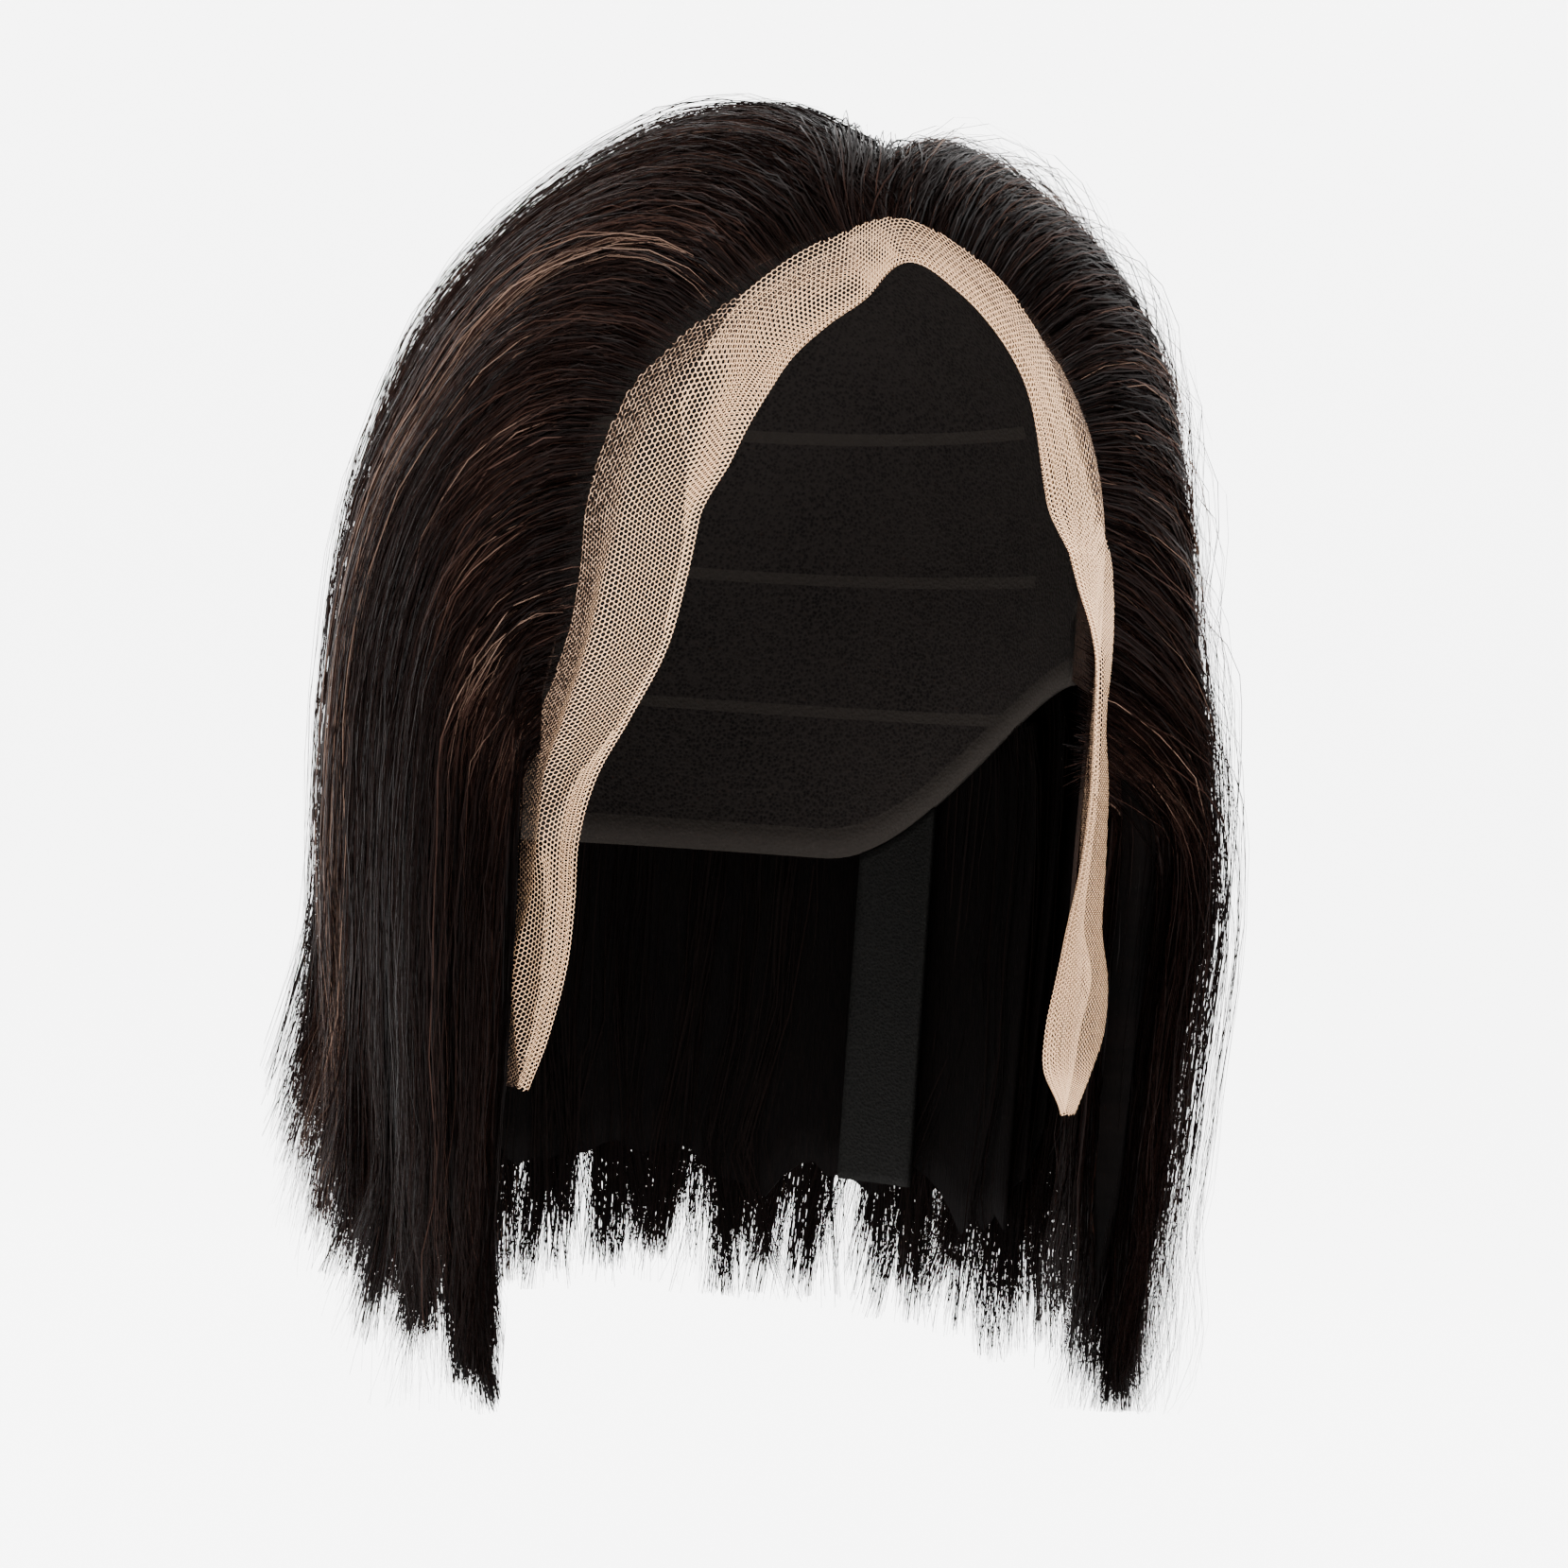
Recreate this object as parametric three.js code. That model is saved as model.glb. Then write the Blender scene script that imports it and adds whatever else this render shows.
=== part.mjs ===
// A lace-front bob wig in the form that it has when it is worn, in millimetres.
// The origin is the inside of the crown, where the cap sits on a head. +Z is up, the face
// opening looks along -Y, and left and right in the names are the wearer's: +X is the left.
// The hair is built in layers, as the real one is: three wefts sewn round the back of the cap,
// and over them the hair tied into the lace, swept off the face to each side and to the back.
import * as THREE from "three";

// The head that the wig is made for
const HEAD_WIDTH = 150;
const HEAD_DEPTH = 190;
const CROWN_HEIGHT = 92; // from the crown down to the widest level
const NAPE_TUCK = 0.2; // share of the depth that the neck lies in from the back of the head
const NAPE_TUCK_DROP = 165; // how far below the crown it has drawn in by that share

// The cap and the lace
const CAP_WALL = 1.5;
const CAP_NAPE_DROP = 165;
const CAP_EAR_DROP = 118;
const CAP_EAR_CURVE = 65; // degrees round from the ear over which its edge drops to the nape
const CAP_SEAM_FORWARD = 12; // the seam with the lace crosses this far in front of the crown
const CAP_SEAM_EAR_FORWARD = 20.4; // and this far in front of it at the ears
const LACE_WALL = 1;
const LACE_DROP = 216; // crown down to the tips of the two ear tabs
const LACE_MARGIN = 12; // width of the cut edge that is folded back
const LACE_LIFT = 6; // how far the free edge stands off the head
const SEAM_GAP = 0.4; // between two pieces that are sewn or tied together
const ROUND_GAP = 2.2; // between two round pieces whose flat facets don't match
const TAB_GAP = 7; // how far the hair beside the face stands off the head to clear the lace's ear tabs
const TAB_TURN = 78; // degrees from the front that the ear tabs reach

// The hair
const HEM_DROP = 286; // crown down to the tips beside the face
const BACK_HEM_DROP = 283;
const HAIR_VOLUME = 36; // how far the fullest part of the hair stands off the head
const PART_GAP = 1.2; // between the hair of the two sides along the parting
const LAYER_GAP = 0.9; // between one layer of hair and the next
const TIP_THICKNESS = 1.2;
const LOCK_RELIEF = 1.5; // height of a lock above the grooves beside it
const TIP_FLARE = 14; // how far a lock with a flare of 1 turns out at its tip

// The strap end that hangs at the nape
const STRAP_WIDTH = 22;
const STRAP_THICKNESS = 1.5;
const STRAP_DROP = 247; // crown down to its cut end
const STRAP_TURN = 126; // degrees round from the front

const HALF_WIDTH = HEAD_WIDTH / 2;
const HALF_DEPTH = HEAD_DEPTH / 2;
const DEGREE = Math.PI / 180;
const QUARTER = 90;

// How far the hair stands off the head, in shares of HAIR_VOLUME, down the head in shares of HEM_DROP
const VOLUME_TABLE = [
  { drop: 0.0, right: 0.38, left: 0.38, back: 0.44, front: 0.42 },
  { drop: 0.03, right: 0.29, left: 0.46, back: 0.45, front: 0.46 },
  { drop: 0.07, right: 0.25, left: 0.6, back: 0.46, front: 0.5 },
  { drop: 0.16, right: 0.3, left: 0.74, back: 0.5, front: 0.55 },
  { drop: 0.25, right: 0.34, left: 0.7, back: 0.5, front: 0.6 },
  { drop: 0.32, right: 0.46, left: 0.74, back: 0.5, front: 0.65 },
  { drop: 0.46, right: 0.55, left: 0.86, back: 0.53, front: 0.72 },
  { drop: 0.6, right: 0.53, left: 0.85, back: 0.55, front: 0.76 },
  { drop: 0.72, right: 0.44, left: 0.73, back: 0.53, front: 0.74 },
  { drop: 0.84, right: 0.34, left: 0.66, back: 0.47, front: 0.68 },
  { drop: 1.0, right: 0.34, left: 0.64, back: 0.36, front: 0.58 },
];

// Guide strands of one side from the face edge round to the back. arc is where the root lies from the
// middle of the forehead (0) over the temple (90) and down, with each degree below 90 as long as one
// above it; root is how far forward it lies, in shares of half the head's depth. back, up and out say
// how the strand leaves its root, turn is where round the head it falls, and bend is the share of
// HEM_DROP at which it hangs straight.
const GUIDE_TABLE = [
  { at: 0.0, arc: 122, root: 0.44, back: 0.05, up: 0.0, out: 0.0, turn: 60, bend: 0.53 },
  { at: 0.1, arc: 108, root: 0.5, back: 0.08, up: 0.02, out: 0.02, turn: 62, bend: 0.46 },
  { at: 0.22, arc: 92, root: 0.535, back: 0.18, up: 0.08, out: 0.06, turn: 67, bend: 0.4 },
  { at: 0.35, arc: 74, root: 0.56, back: 0.28, up: 0.18, out: 0.12, turn: 77, bend: 0.36 },
  { at: 0.48, arc: 56, root: 0.63, back: 0.32, up: 0.25, out: 0.18, turn: 89, bend: 0.33 },
  { at: 0.6, arc: 34, root: 0.69, back: 0.35, up: 0.3, out: 0.22, turn: 100, bend: 0.32 },
  { at: 0.7, arc: 13, root: 0.69, back: 0.35, up: 0.28, out: 0.25, turn: 109, bend: 0.32 },
  { at: 0.77, arc: 0.6, root: 0.65, back: 0.3, up: 0.22, out: 0.3, turn: 115, bend: 0.32 },
  { at: 0.85, arc: 0.3, root: 0.42, back: 0.25, up: 0.12, out: 0.35, turn: 122, bend: 0.32 },
  { at: 0.93, arc: 0.3, root: 0.18, back: 0.25, up: 0.05, out: 0.35, turn: 130, bend: 0.32 },
];
// base is the share of the volume that the same strands have at their roots, and rise the share of
// their length over which they fill out
const RISE_TABLE = [
  { at: 0.0, base: 0.25, rise: 0.2 },
  { at: 0.1, base: 0.14, rise: 0.2 },
  { at: 0.22, base: 0.12, rise: 0.18 },
  { at: 0.35, base: 0.12, rise: 0.16 },
  { at: 0.48, base: 0.12, rise: 0.16 },
  { at: 0.6, base: 0.14, rise: 0.15 },
  { at: 0.7, base: 0.15, rise: 0.13 },
  { at: 0.77, base: 0.16, rise: 0.1 },
  { at: 0.85, base: 0.18, rise: 0.09 },
  { at: 0.93, base: 0.3, rise: 0.1 },
];
const WHORL_RADIUS = 1.4; // of the bare point at the crown that the back hair falls from
const WHORL_BASE = 0.5;
const PART_SLANT = 28; // degrees that the parting drifts to the left on its way back, for each half depth
const PEAK_FORWARD = 0.67; // where it starts, at the top of the hairline, in shares of half the depth
const BACK_TURN = 140; // degrees from the front at which the side hair meets the back hair
const LOCK_START = 0.15; // share of a strand's length after which it lies in locks
const FLARE_START = 0.83; // and after which its lock turns out

// The face edge of each side: the share of the volume left there, and over what share of the side's
// width it fills out
const RIGHT_EDGE = { volume: 0.45, width: 0.2 };
const LEFT_EDGE = { volume: 0.75, width: 0.16 };

// Locks of each sheet of hair, from the face edge to the back: cut is the length of the lock in shares
// of the strand, notch the length of the groove before it, flare how far its tip turns out
const RIGHT_LOCKS = [
  { cut: 0.95, notch: 0.9, flare: -0.5 },
  { cut: 0.97, notch: 0.85, flare: -0.7 },
  { cut: 0.95, notch: 0.87, flare: -0.3 },
  { cut: 0.95, notch: 0.84, flare: 0.0 },
  { cut: 0.92, notch: 0.83, flare: 0.3 },
  { cut: 0.94, notch: 0.82, flare: 0.7 },
  { cut: 0.9, notch: 0.8, flare: 0.9 },
  { cut: 0.9, notch: 0.8, flare: 1.0 },
  { cut: 0.87, notch: 0.78, flare: 0.8 },
  { cut: 0.9, notch: 0.8, flare: 0.5 },
  { cut: 0.92, notch: 0.83, flare: 0.2 },
  { cut: 0.95, notch: 0.87, flare: 0.1 },
];
const LEFT_LOCKS = [
  { cut: 0.97, notch: 0.92, flare: -0.2 },
  { cut: 1.0, notch: 0.88, flare: -0.3 },
  { cut: 0.99, notch: 0.87, flare: 0.0 },
  { cut: 0.94, notch: 0.84, flare: 0.1 },
  { cut: 0.98, notch: 0.82, flare: -0.2 },
  { cut: 0.95, notch: 0.86, flare: 0.2 },
  { cut: 0.99, notch: 0.83, flare: 0.3 },
  { cut: 0.94, notch: 0.85, flare: 0.0 },
  { cut: 0.97, notch: 0.87, flare: 0.2 },
  { cut: 0.95, notch: 0.84, flare: -0.1 },
  { cut: 0.98, notch: 0.88, flare: 0.1 },
  { cut: 0.96, notch: 0.87, flare: 0.0 },
];
const BACK_LOCKS = [
  { cut: 0.97, notch: 0.91, flare: 0.1 },
  { cut: 0.94, notch: 0.92, flare: 0.0 },
  { cut: 0.99, notch: 0.9, flare: 0.2 },
  { cut: 0.95, notch: 0.9, flare: -0.1 },
  { cut: 0.98, notch: 0.91, flare: 0.1 },
  { cut: 1.0, notch: 0.91, flare: 0.0 },
  { cut: 0.94, notch: 0.9, flare: 0.2 },
  { cut: 0.98, notch: 0.91, flare: -0.1 },
];
const WEFT_LOCKS = [
  { cut: 0.98, notch: 0.93, flare: 0.0 },
  { cut: 0.95, notch: 0.91, flare: -0.1 },
  { cut: 0.99, notch: 0.92, flare: 0.1 },
  { cut: 0.94, notch: 0.91, flare: 0.0 },
  { cut: 0.97, notch: 0.92, flare: -0.1 },
  { cut: 0.98, notch: 0.9, flare: 0.0 },
  { cut: 0.91, notch: 0.87, flare: 0.1 },
  { cut: 0.86, notch: 0.83, flare: 0.0 },
];
const LOCK_COLUMNS = 3;
const ROW_CROWDING = 0.4; // 0 spaces the rows of points evenly, and more draws them to the roots
const SIDE_ROWS = 13;
const BACK_ROWS = 11;
const WEFT_ROWS = 7;

// Sewn rows of the cap's back. row is how far down the cap each is sewn, in shares of CAP_NAPE_DROP;
// inner and outer are the shares of the hair's volume that it fills
const WEFT_TABLE = [
  { name: "weft_upper", row: 0.34, inner: 0.45, outer: 0.57 },
  { name: "weft_middle", row: 0.56, inner: 0.27, outer: 0.39 },
  { name: "weft_lower", row: 0.77, inner: 0.08, outer: 0.2 },
];
const WEFT_TURN = 92; // degrees from the front at which a weft starts
const WEFT_RISE = 0.2; // share of its length over which a weft lifts off the cap
const WEFT_SHARE = 0.62; // share of the volume that the wefts fill under the outer hair
const FRONT_HOLLOW = 0.3; // share of the volume left open inside the hair beside the face
const FILLED_DROP = 0.26; // share of HEM_DROP down to which the outer hair reaches to the cap
const HOLLOW_DROP = 0.46; // share of HEM_DROP from which it is fully hollow

// The lace from the tip of the right ear tab over the forehead to the tip of the left one. arc is as
// in the guides, with -90 at the right temple; hairline and fold lie forward in shares of half the head's
// depth, margin is the folded edge in shares of LACE_MARGIN, crease and lift are shares of LACE_LIFT
const LACE_TABLE = [
  { arc: -167, hairline: 0.47, fold: 0.54, margin: 0.1, crease: 0.1, lift: 0.3 },
  { arc: -160, hairline: 0.42, fold: 0.59, margin: 0.2, crease: 0.6, lift: 0.5 },
  { arc: -150, hairline: 0.36, fold: 0.628, margin: 0.3, crease: 0.8, lift: 0.6 },
  { arc: -141, hairline: 0.4, fold: 0.64, margin: 0.4, crease: 0.2, lift: 0.7 },
  { arc: -133, hairline: 0.43, fold: 0.628, margin: 0.5, crease: 0.6, lift: 0.4 },
  { arc: -125, hairline: 0.44, fold: 0.66, margin: 0.2, crease: 1.0, lift: 0.5 },
  { arc: -117, hairline: 0.465, fold: 0.727, margin: 0.0, crease: 0.8, lift: 0.8 },
  { arc: -108, hairline: 0.505, fold: 0.785, margin: 0.0, crease: 0.9, lift: 1.0 },
  { arc: -98, hairline: 0.527, fold: 0.81, margin: 0.0, crease: 0.7, lift: 1.0 },
  { arc: -89, hairline: 0.54, fold: 0.82, margin: 0.1, crease: 0.3, lift: 0.7 },
  { arc: -78, hairline: 0.553, fold: 0.842, margin: 0.4, crease: 0.5, lift: 0.4 },
  { arc: -68, hairline: 0.575, fold: 0.85, margin: 0.75, crease: 0.3, lift: 0.3 },
  { arc: -57, hairline: 0.625, fold: 0.855, margin: 0.8, crease: 0.5, lift: 0.3 },
  { arc: -45, hairline: 0.68, fold: 0.852, margin: 0.85, crease: 0.2, lift: 0.2 },
  { arc: -31, hairline: 0.713, fold: 0.85, margin: 0.85, crease: 0.2, lift: 0.2 },
  { arc: -16, hairline: 0.71, fold: 0.835, margin: 0.8, crease: 0.1, lift: 0.2 },
  { arc: 0, hairline: 0.67, fold: 0.775, margin: 0.62, crease: 0.1, lift: 0.15 },
  { arc: 13, hairline: 0.682, fold: 0.808, margin: 0.65, crease: 0.1, lift: 0.15 },
  { arc: 26, hairline: 0.695, fold: 0.84, margin: 0.65, crease: 0.1, lift: 0.15 },
  { arc: 40, hairline: 0.685, fold: 0.868, margin: 0.55, crease: 0.2, lift: 0.15 },
  { arc: 54, hairline: 0.64, fold: 0.898, margin: 0.5, crease: 0.3, lift: 0.15 },
  { arc: 68, hairline: 0.58, fold: 0.912, margin: 0.55, crease: 0.4, lift: 0.15 },
  { arc: 82, hairline: 0.545, fold: 0.9, margin: 0.75, crease: 0.4, lift: 0.15 },
  { arc: 94, hairline: 0.53, fold: 0.835, margin: 0.9, crease: 0.3, lift: 0.2 },
  { arc: 104, hairline: 0.51, fold: 0.7, margin: 0.5, crease: 0.2, lift: 0.2 },
  { arc: 112, hairline: 0.48, fold: 0.665, margin: 0.3, crease: 0.4, lift: 0.2 },
  { arc: 121, hairline: 0.45, fold: 0.69, margin: 0.7, crease: 0.6, lift: 0.3 },
  { arc: 131, hairline: 0.43, fold: 0.735, margin: 0.9, crease: 0.4, lift: 0.35 },
  { arc: 141, hairline: 0.42, fold: 0.8, margin: 1.1, crease: 0.2, lift: 0.4 },
  { arc: 148, hairline: 0.41, fold: 0.845, margin: 1.5, crease: 0.9, lift: 0.6 },
  { arc: 155, hairline: 0.42, fold: 0.865, margin: 1.6, crease: 0.4, lift: 0.6 },
  { arc: 161, hairline: 0.46, fold: 0.84, margin: 1.2, crease: 0.3, lift: 0.4 },
  { arc: 167, hairline: 0.58, fold: 0.73, margin: 0.3, crease: 0.1, lift: 0.2 },
];
const LACE_COLUMNS = 64;
const LACE_TIP_ARC = 167; // the arc that LACE_DROP is at
const LACE_HAIRLINE_SPARE = 6; // lace behind the hairline below the cap's ear tab

const HAIR_MATERIAL = new THREE.MeshStandardMaterial({ color: 0x1a1210, roughness: 0.45, metalness: 0 });
const WEFT_MATERIAL = new THREE.MeshStandardMaterial({ color: 0x140e0d, roughness: 0.5, metalness: 0 });
const CAP_MATERIAL = new THREE.MeshStandardMaterial({ color: 0x1c1816, roughness: 0.85, metalness: 0 });
const LACE_MATERIAL = new THREE.MeshStandardMaterial({ color: 0xd8b48c, roughness: 0.7, metalness: 0 });
const STRAP_MATERIAL = new THREE.MeshStandardMaterial({ color: 0x201d1a, roughness: 0.7, metalness: 0 });

const mix = (a, b, t) => a + (b - a) * t;
const clamp01 = (t) => Math.min(1, Math.max(0, t));
const smooth = (t) => clamp01(t) ** 2 * (3 - 2 * clamp01(t));

// The value of column `name` of a table whose first column is `key`, on a smooth curve through its rows
function column(table, key, name, at) {
  const last = table.length - 1;
  const x = Math.min(Math.max(at, table[0][key]), table[last][key]);
  let i = 0;
  while (i < last - 1 && x > table[i + 1][key]) i++;
  const slope = (a, b) => (table[b][name] - table[a][name]) / (table[b][key] - table[a][key]);
  const width = table[i + 1][key] - table[i][key];
  const t = (x - table[i][key]) / width;
  const before = slope(Math.max(i - 1, 0), i + 1) * width;
  const after = slope(i, Math.min(i + 2, last)) * width;
  const t2 = t * t;
  const t3 = t2 * t;
  return (
    table[i][name] * (2 * t3 - 3 * t2 + 1) +
    before * (t3 - 2 * t2 + t) +
    table[i + 1][name] * (3 * t2 - 2 * t3) +
    after * (t3 - t2)
  );
}

// A point off the head. Its direction is on a unit ball above the widest level and on a unit
// cylinder below it, where z goes on down in shares of CROWN_HEIGHT.
function unitOf(direction) {
  const flat = direction.z < 0;
  const size = flat ? Math.hypot(direction.x, direction.y) : direction.length();
  return new THREE.Vector3(direction.x / size, direction.y / size, flat ? direction.z : direction.z / size);
}

function offHead(direction, lift, tuck = 0) {
  const unit = unitOf(direction);
  const normal = new THREE.Vector3(
    unit.x / HALF_WIDTH,
    unit.y / HALF_DEPTH,
    Math.max(unit.z, 0) / CROWN_HEIGHT,
  ).normalize();
  const below = (-unit.z * CROWN_HEIGHT) / (NAPE_TUCK_DROP - CROWN_HEIGHT);
  const drawnIn = unit.z < 0 && unit.y > 0 ? 1 - tuck * NAPE_TUCK * below ** 2 : 1;
  return new THREE.Vector3(
    unit.x * HALF_WIDTH,
    unit.y * HALF_DEPTH * drawnIn,
    (unit.z - 1) * CROWN_HEIGHT,
  ).addScaledVector(normal, lift);
}

const dropOf = (direction) => 1 - unitOf(direction).z; // in shares of CROWN_HEIGHT

// The direction at a turn from the front round to +X, and a drop below the crown in millimetres
function directionAt(turn, drop) {
  const z = 1 - drop / CROWN_HEIGHT;
  const round = z > 0 ? Math.sqrt(1 - z * z) : 1;
  return new THREE.Vector3(Math.sin(turn * DEGREE) * round, -Math.cos(turn * DEGREE) * round, z);
}

// The direction on an arc from ear to ear, `forward` of the crown in shares of half the head's depth
function directionOnArc(arc, forward) {
  const round = Math.sqrt(1 - forward * forward);
  const side = Math.sign(arc);
  if (Math.abs(arc) <= QUARTER)
    return new THREE.Vector3(Math.sin(arc * DEGREE) * round, -forward, Math.cos(arc * DEGREE) * round);
  return new THREE.Vector3(side * round, -forward, -(Math.abs(arc) - QUARTER) * DEGREE);
}

function volumeAt(direction) {
  const unit = unitOf(direction);
  const share = (dropOf(direction) * CROWN_HEIGHT) / HEM_DROP;
  const sideways = unit.x ** 2 / (unit.x ** 2 + unit.y ** 2);
  const side = column(VOLUME_TABLE, "drop", unit.x < 0 ? "right" : "left", share);
  const end = column(VOLUME_TABLE, "drop", unit.y < 0 ? "front" : "back", share);
  return HAIR_VOLUME * mix(end, side, sideways);
}

// A strand as directions off the head, from its root to the hem, evenly spaced
const PATH_STEPS = 48;
function evenly(directions) {
  const lengths = [0];
  const points = directions.map((d) => offHead(d, 0));
  for (let i = 1; i < points.length; i++) {
    const step = points[i].distanceTo(points[i - 1]);
    lengths.push(lengths[i - 1] + step);
  }
  const total = lengths[lengths.length - 1];
  return (share) => {
    const along = share * total;
    let i = 1;
    while (i < lengths.length - 1 && lengths[i] < along) i++;
    const t = (along - lengths[i - 1]) / (lengths[i] - lengths[i - 1]);
    return directions[i - 1].clone().lerp(directions[i], t);
  };
}

function hang(root, control, turn, bendDrop, hemDrop) {
  const bend = directionAt(turn, bendDrop);
  const above = bend.clone().add(new THREE.Vector3(0, 0, 0.45));
  const curve = new THREE.CubicBezierCurve3(root, control, above, bend);
  const directions = curve.getPoints(PATH_STEPS);
  for (let i = 1; i <= PATH_STEPS; i++)
    directions.push(directionAt(turn, mix(bendDrop, hemDrop, i / PATH_STEPS)));
  return evenly(directions);
}

// How far below the crown the hem lies, at a turn from the front
function hemDropAt(turn) {
  const fromBack = 1 - Math.cos((180 - turn) * DEGREE);
  return mix(BACK_HEM_DROP, HEM_DROP, smooth(fromBack / 1.5));
}

// How far the parting lies to the left of the middle, in degrees of arc
const partingArc = (forward) => PART_SLANT * (PEAK_FORWARD - forward);

// A root on the bare ring at the crown, and the way that its strand sets off
function whorl(side, turn) {
  const outward = new THREE.Vector3(Math.sin(turn * DEGREE), -Math.cos(turn * DEGREE), 0);
  const middle = directionOnArc(side * partingArc(0), 0);
  return {
    root: middle.addScaledVector(outward, WHORL_RADIUS / HALF_WIDTH),
    leave: outward.multiplyScalar(0.5),
    bend: GUIDE_TABLE[GUIDE_TABLE.length - 1].bend * HEM_DROP,
  };
}

// One strand of a side, from the face edge (0) to the back hair (1). The last ones swing round the
// crown from the parting to the whorl.
function sideStrand(side, at) {
  const guide = (name) => column(GUIDE_TABLE, "at", name, at);
  const last = GUIDE_TABLE[GUIDE_TABLE.length - 1];
  const round = clamp01((at - last.at) / (1 - last.at));
  const atParting = smooth((at - 0.7) / 0.07);
  const forward = mix(guide("root"), 0, round);
  const turn = mix(guide("turn"), BACK_TURN, round);
  const end = whorl(side, BACK_TURN);
  const arc = guide("arc") + atParting * side * partingArc(forward);
  const root = directionOnArc(arc, forward).lerp(end.root, smooth(round));
  const leave = new THREE.Vector3(guide("out"), guide("back"), guide("up")).lerp(end.leave, round);
  const path = hang(root, root.clone().add(leave), turn, guide("bend") * HEM_DROP, hemDropAt(turn));
  return {
    base: mix(column(RISE_TABLE, "at", "base", at), WHORL_BASE, round),
    rise: column(RISE_TABLE, "at", "rise", at),
    path: (share) => mirrored(path(share), side),
  };
}

function backStrand(at) {
  const turn = mix(BACK_TURN, 2 * 180 - BACK_TURN, at);
  const start = whorl(1, turn);
  const hemDrop = hemDropAt(Math.min(turn, 360 - turn));
  const path = hang(start.root, start.root.clone().add(start.leave), turn, start.bend, hemDrop);
  return { base: WHORL_BASE, rise: column(RISE_TABLE, "at", "rise", 1), path };
}

const mirrored = (v, side) => new THREE.Vector3(v.x * side, v.y, v.z);

// How far the inner face of the outer hair stands off the head: on the cap over the crown, and
// clear of the wefts or open beside the face further down
function innerLift(direction, outerLift) {
  const share = (dropOf(direction) * CROWN_HEIGHT) / HEM_DROP;
  const opened = smooth((share - FILLED_DROP) / (HOLLOW_DROP - FILLED_DROP));
  const unit = unitOf(direction);
  const turn = Math.abs(Math.atan2(unit.x, -unit.y)) / DEGREE;
  const overTab = opened * (1 - smooth((turn - TAB_TURN) / 12));
  const floor = mix(CAP_WALL + ROUND_GAP, TAB_GAP, overTab);
  const overWefts = smooth((turn - (WEFT_TURN - 16)) / 16);
  const hollow = mix(FRONT_HOLLOW, WEFT_SHARE, overWefts);
  const wefted = overWefts * smooth((share - 0.12) / 0.08) * WEFT_SHARE;
  return Math.max(floor, outerLift * Math.max(opened * hollow, wefted));
}

// Where each column of a sheet lies between its edges, and how its lock is shaped there
function lockColumns(locks) {
  const columns = [];
  for (let i = 0; i <= locks.length * LOCK_COLUMNS; i++) {
    const lock = locks[Math.min(Math.floor(i / LOCK_COLUMNS), locks.length - 1)];
    const step = i === locks.length * LOCK_COLUMNS ? 0 : i % LOCK_COLUMNS;
    const groove = step === 0;
    columns.push({
      at: i / (locks.length * LOCK_COLUMNS),
      length: groove ? lock.notch : mix(lock.notch, lock.cut, step === 2 ? 1 : 0.75),
      relief: groove ? -0.5 : 0.5,
      flare: lock.flare,
    });
  }
  return columns;
}

// The share of its full height that a strand has reached
const risen = (strand, share) => mix(strand.base, 1, 1 - (1 - clamp01(share / strand.rise)) ** 2);

// One sheet of locks: strandAt(at) gives a strand for each column, and faces(direction, share, strand)
// how far its outer and inner faces stand off the head
function lockSheet(locks, rows, strandAt, faces) {
  const outer = [];
  const inner = [];
  for (const lock of lockColumns(locks)) {
    const strand = strandAt(lock.at);
    const outerColumn = [];
    const innerColumn = [];
    for (let j = 0; j <= rows; j++) {
      const share = mix(j / rows, (j / rows) ** 2, ROW_CROWDING) * lock.length;
      const direction = strand.path(share);
      const face = faces(direction, share, strand, lock.at);
      const grooved = LOCK_RELIEF * lock.relief * smooth(share / LOCK_START);
      const tip = smooth((j / rows - 0.75) / 0.25);
      const turnedOut = TIP_FLARE * lock.flare * smooth((share - FLARE_START) / (1 - FLARE_START));
      const middle = (face.outer + face.inner) / 2;
      const top = Math.max(face.outer + grooved, face.inner + TIP_THICKNESS);
      const outLift = mix(top, Math.min(middle + TIP_THICKNESS / 2, top), tip);
      const inLift = mix(face.inner, Math.max(middle - TIP_THICKNESS / 2, face.inner), tip);
      const spread = Math.max(turnedOut, SEAM_GAP - inLift);
      outerColumn.push(face.point(direction, outLift + spread, share));
      innerColumn.push(face.point(direction, inLift + spread, share));
    }
    outer.push(outerColumn);
    inner.push(innerColumn);
  }
  return closedSheet(outer, inner);
}

// The closed mesh between two grids of points, with a wall round all four edges
function closedSheet(outer, inner) {
  const columns = outer.length;
  const rows = outer[0].length;
  const positions = [outer, inner].flat(2).flatMap((p) => [p.x, p.y, p.z]);
  const id = (face, i, j) => face * columns * rows + i * rows + j;
  const faces = [];
  const quad = (a, b, c, d) => faces.push(a, b, c, a, c, d);
  for (let i = 0; i < columns - 1; i++)
    for (let j = 0; j < rows - 1; j++) {
      quad(id(0, i, j), id(0, i, j + 1), id(0, i + 1, j + 1), id(0, i + 1, j));
      quad(id(1, i, j), id(1, i + 1, j), id(1, i + 1, j + 1), id(1, i, j + 1));
    }
  for (let i = 0; i < columns - 1; i++)
    for (const [j, turned] of [[0, true], [rows - 1, false]]) {
      const ring = [id(0, i, j), id(1, i, j), id(1, i + 1, j), id(0, i + 1, j)];
      quad(...(turned ? ring.reverse() : ring));
    }
  for (let j = 0; j < rows - 1; j++)
    for (const [i, turned] of [[0, false], [columns - 1, true]]) {
      const ring = [id(0, i, j), id(1, i, j), id(1, i, j + 1), id(0, i, j + 1)];
      quad(...(turned ? ring.reverse() : ring));
    }
  return facingOut(positions, faces);
}

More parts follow.
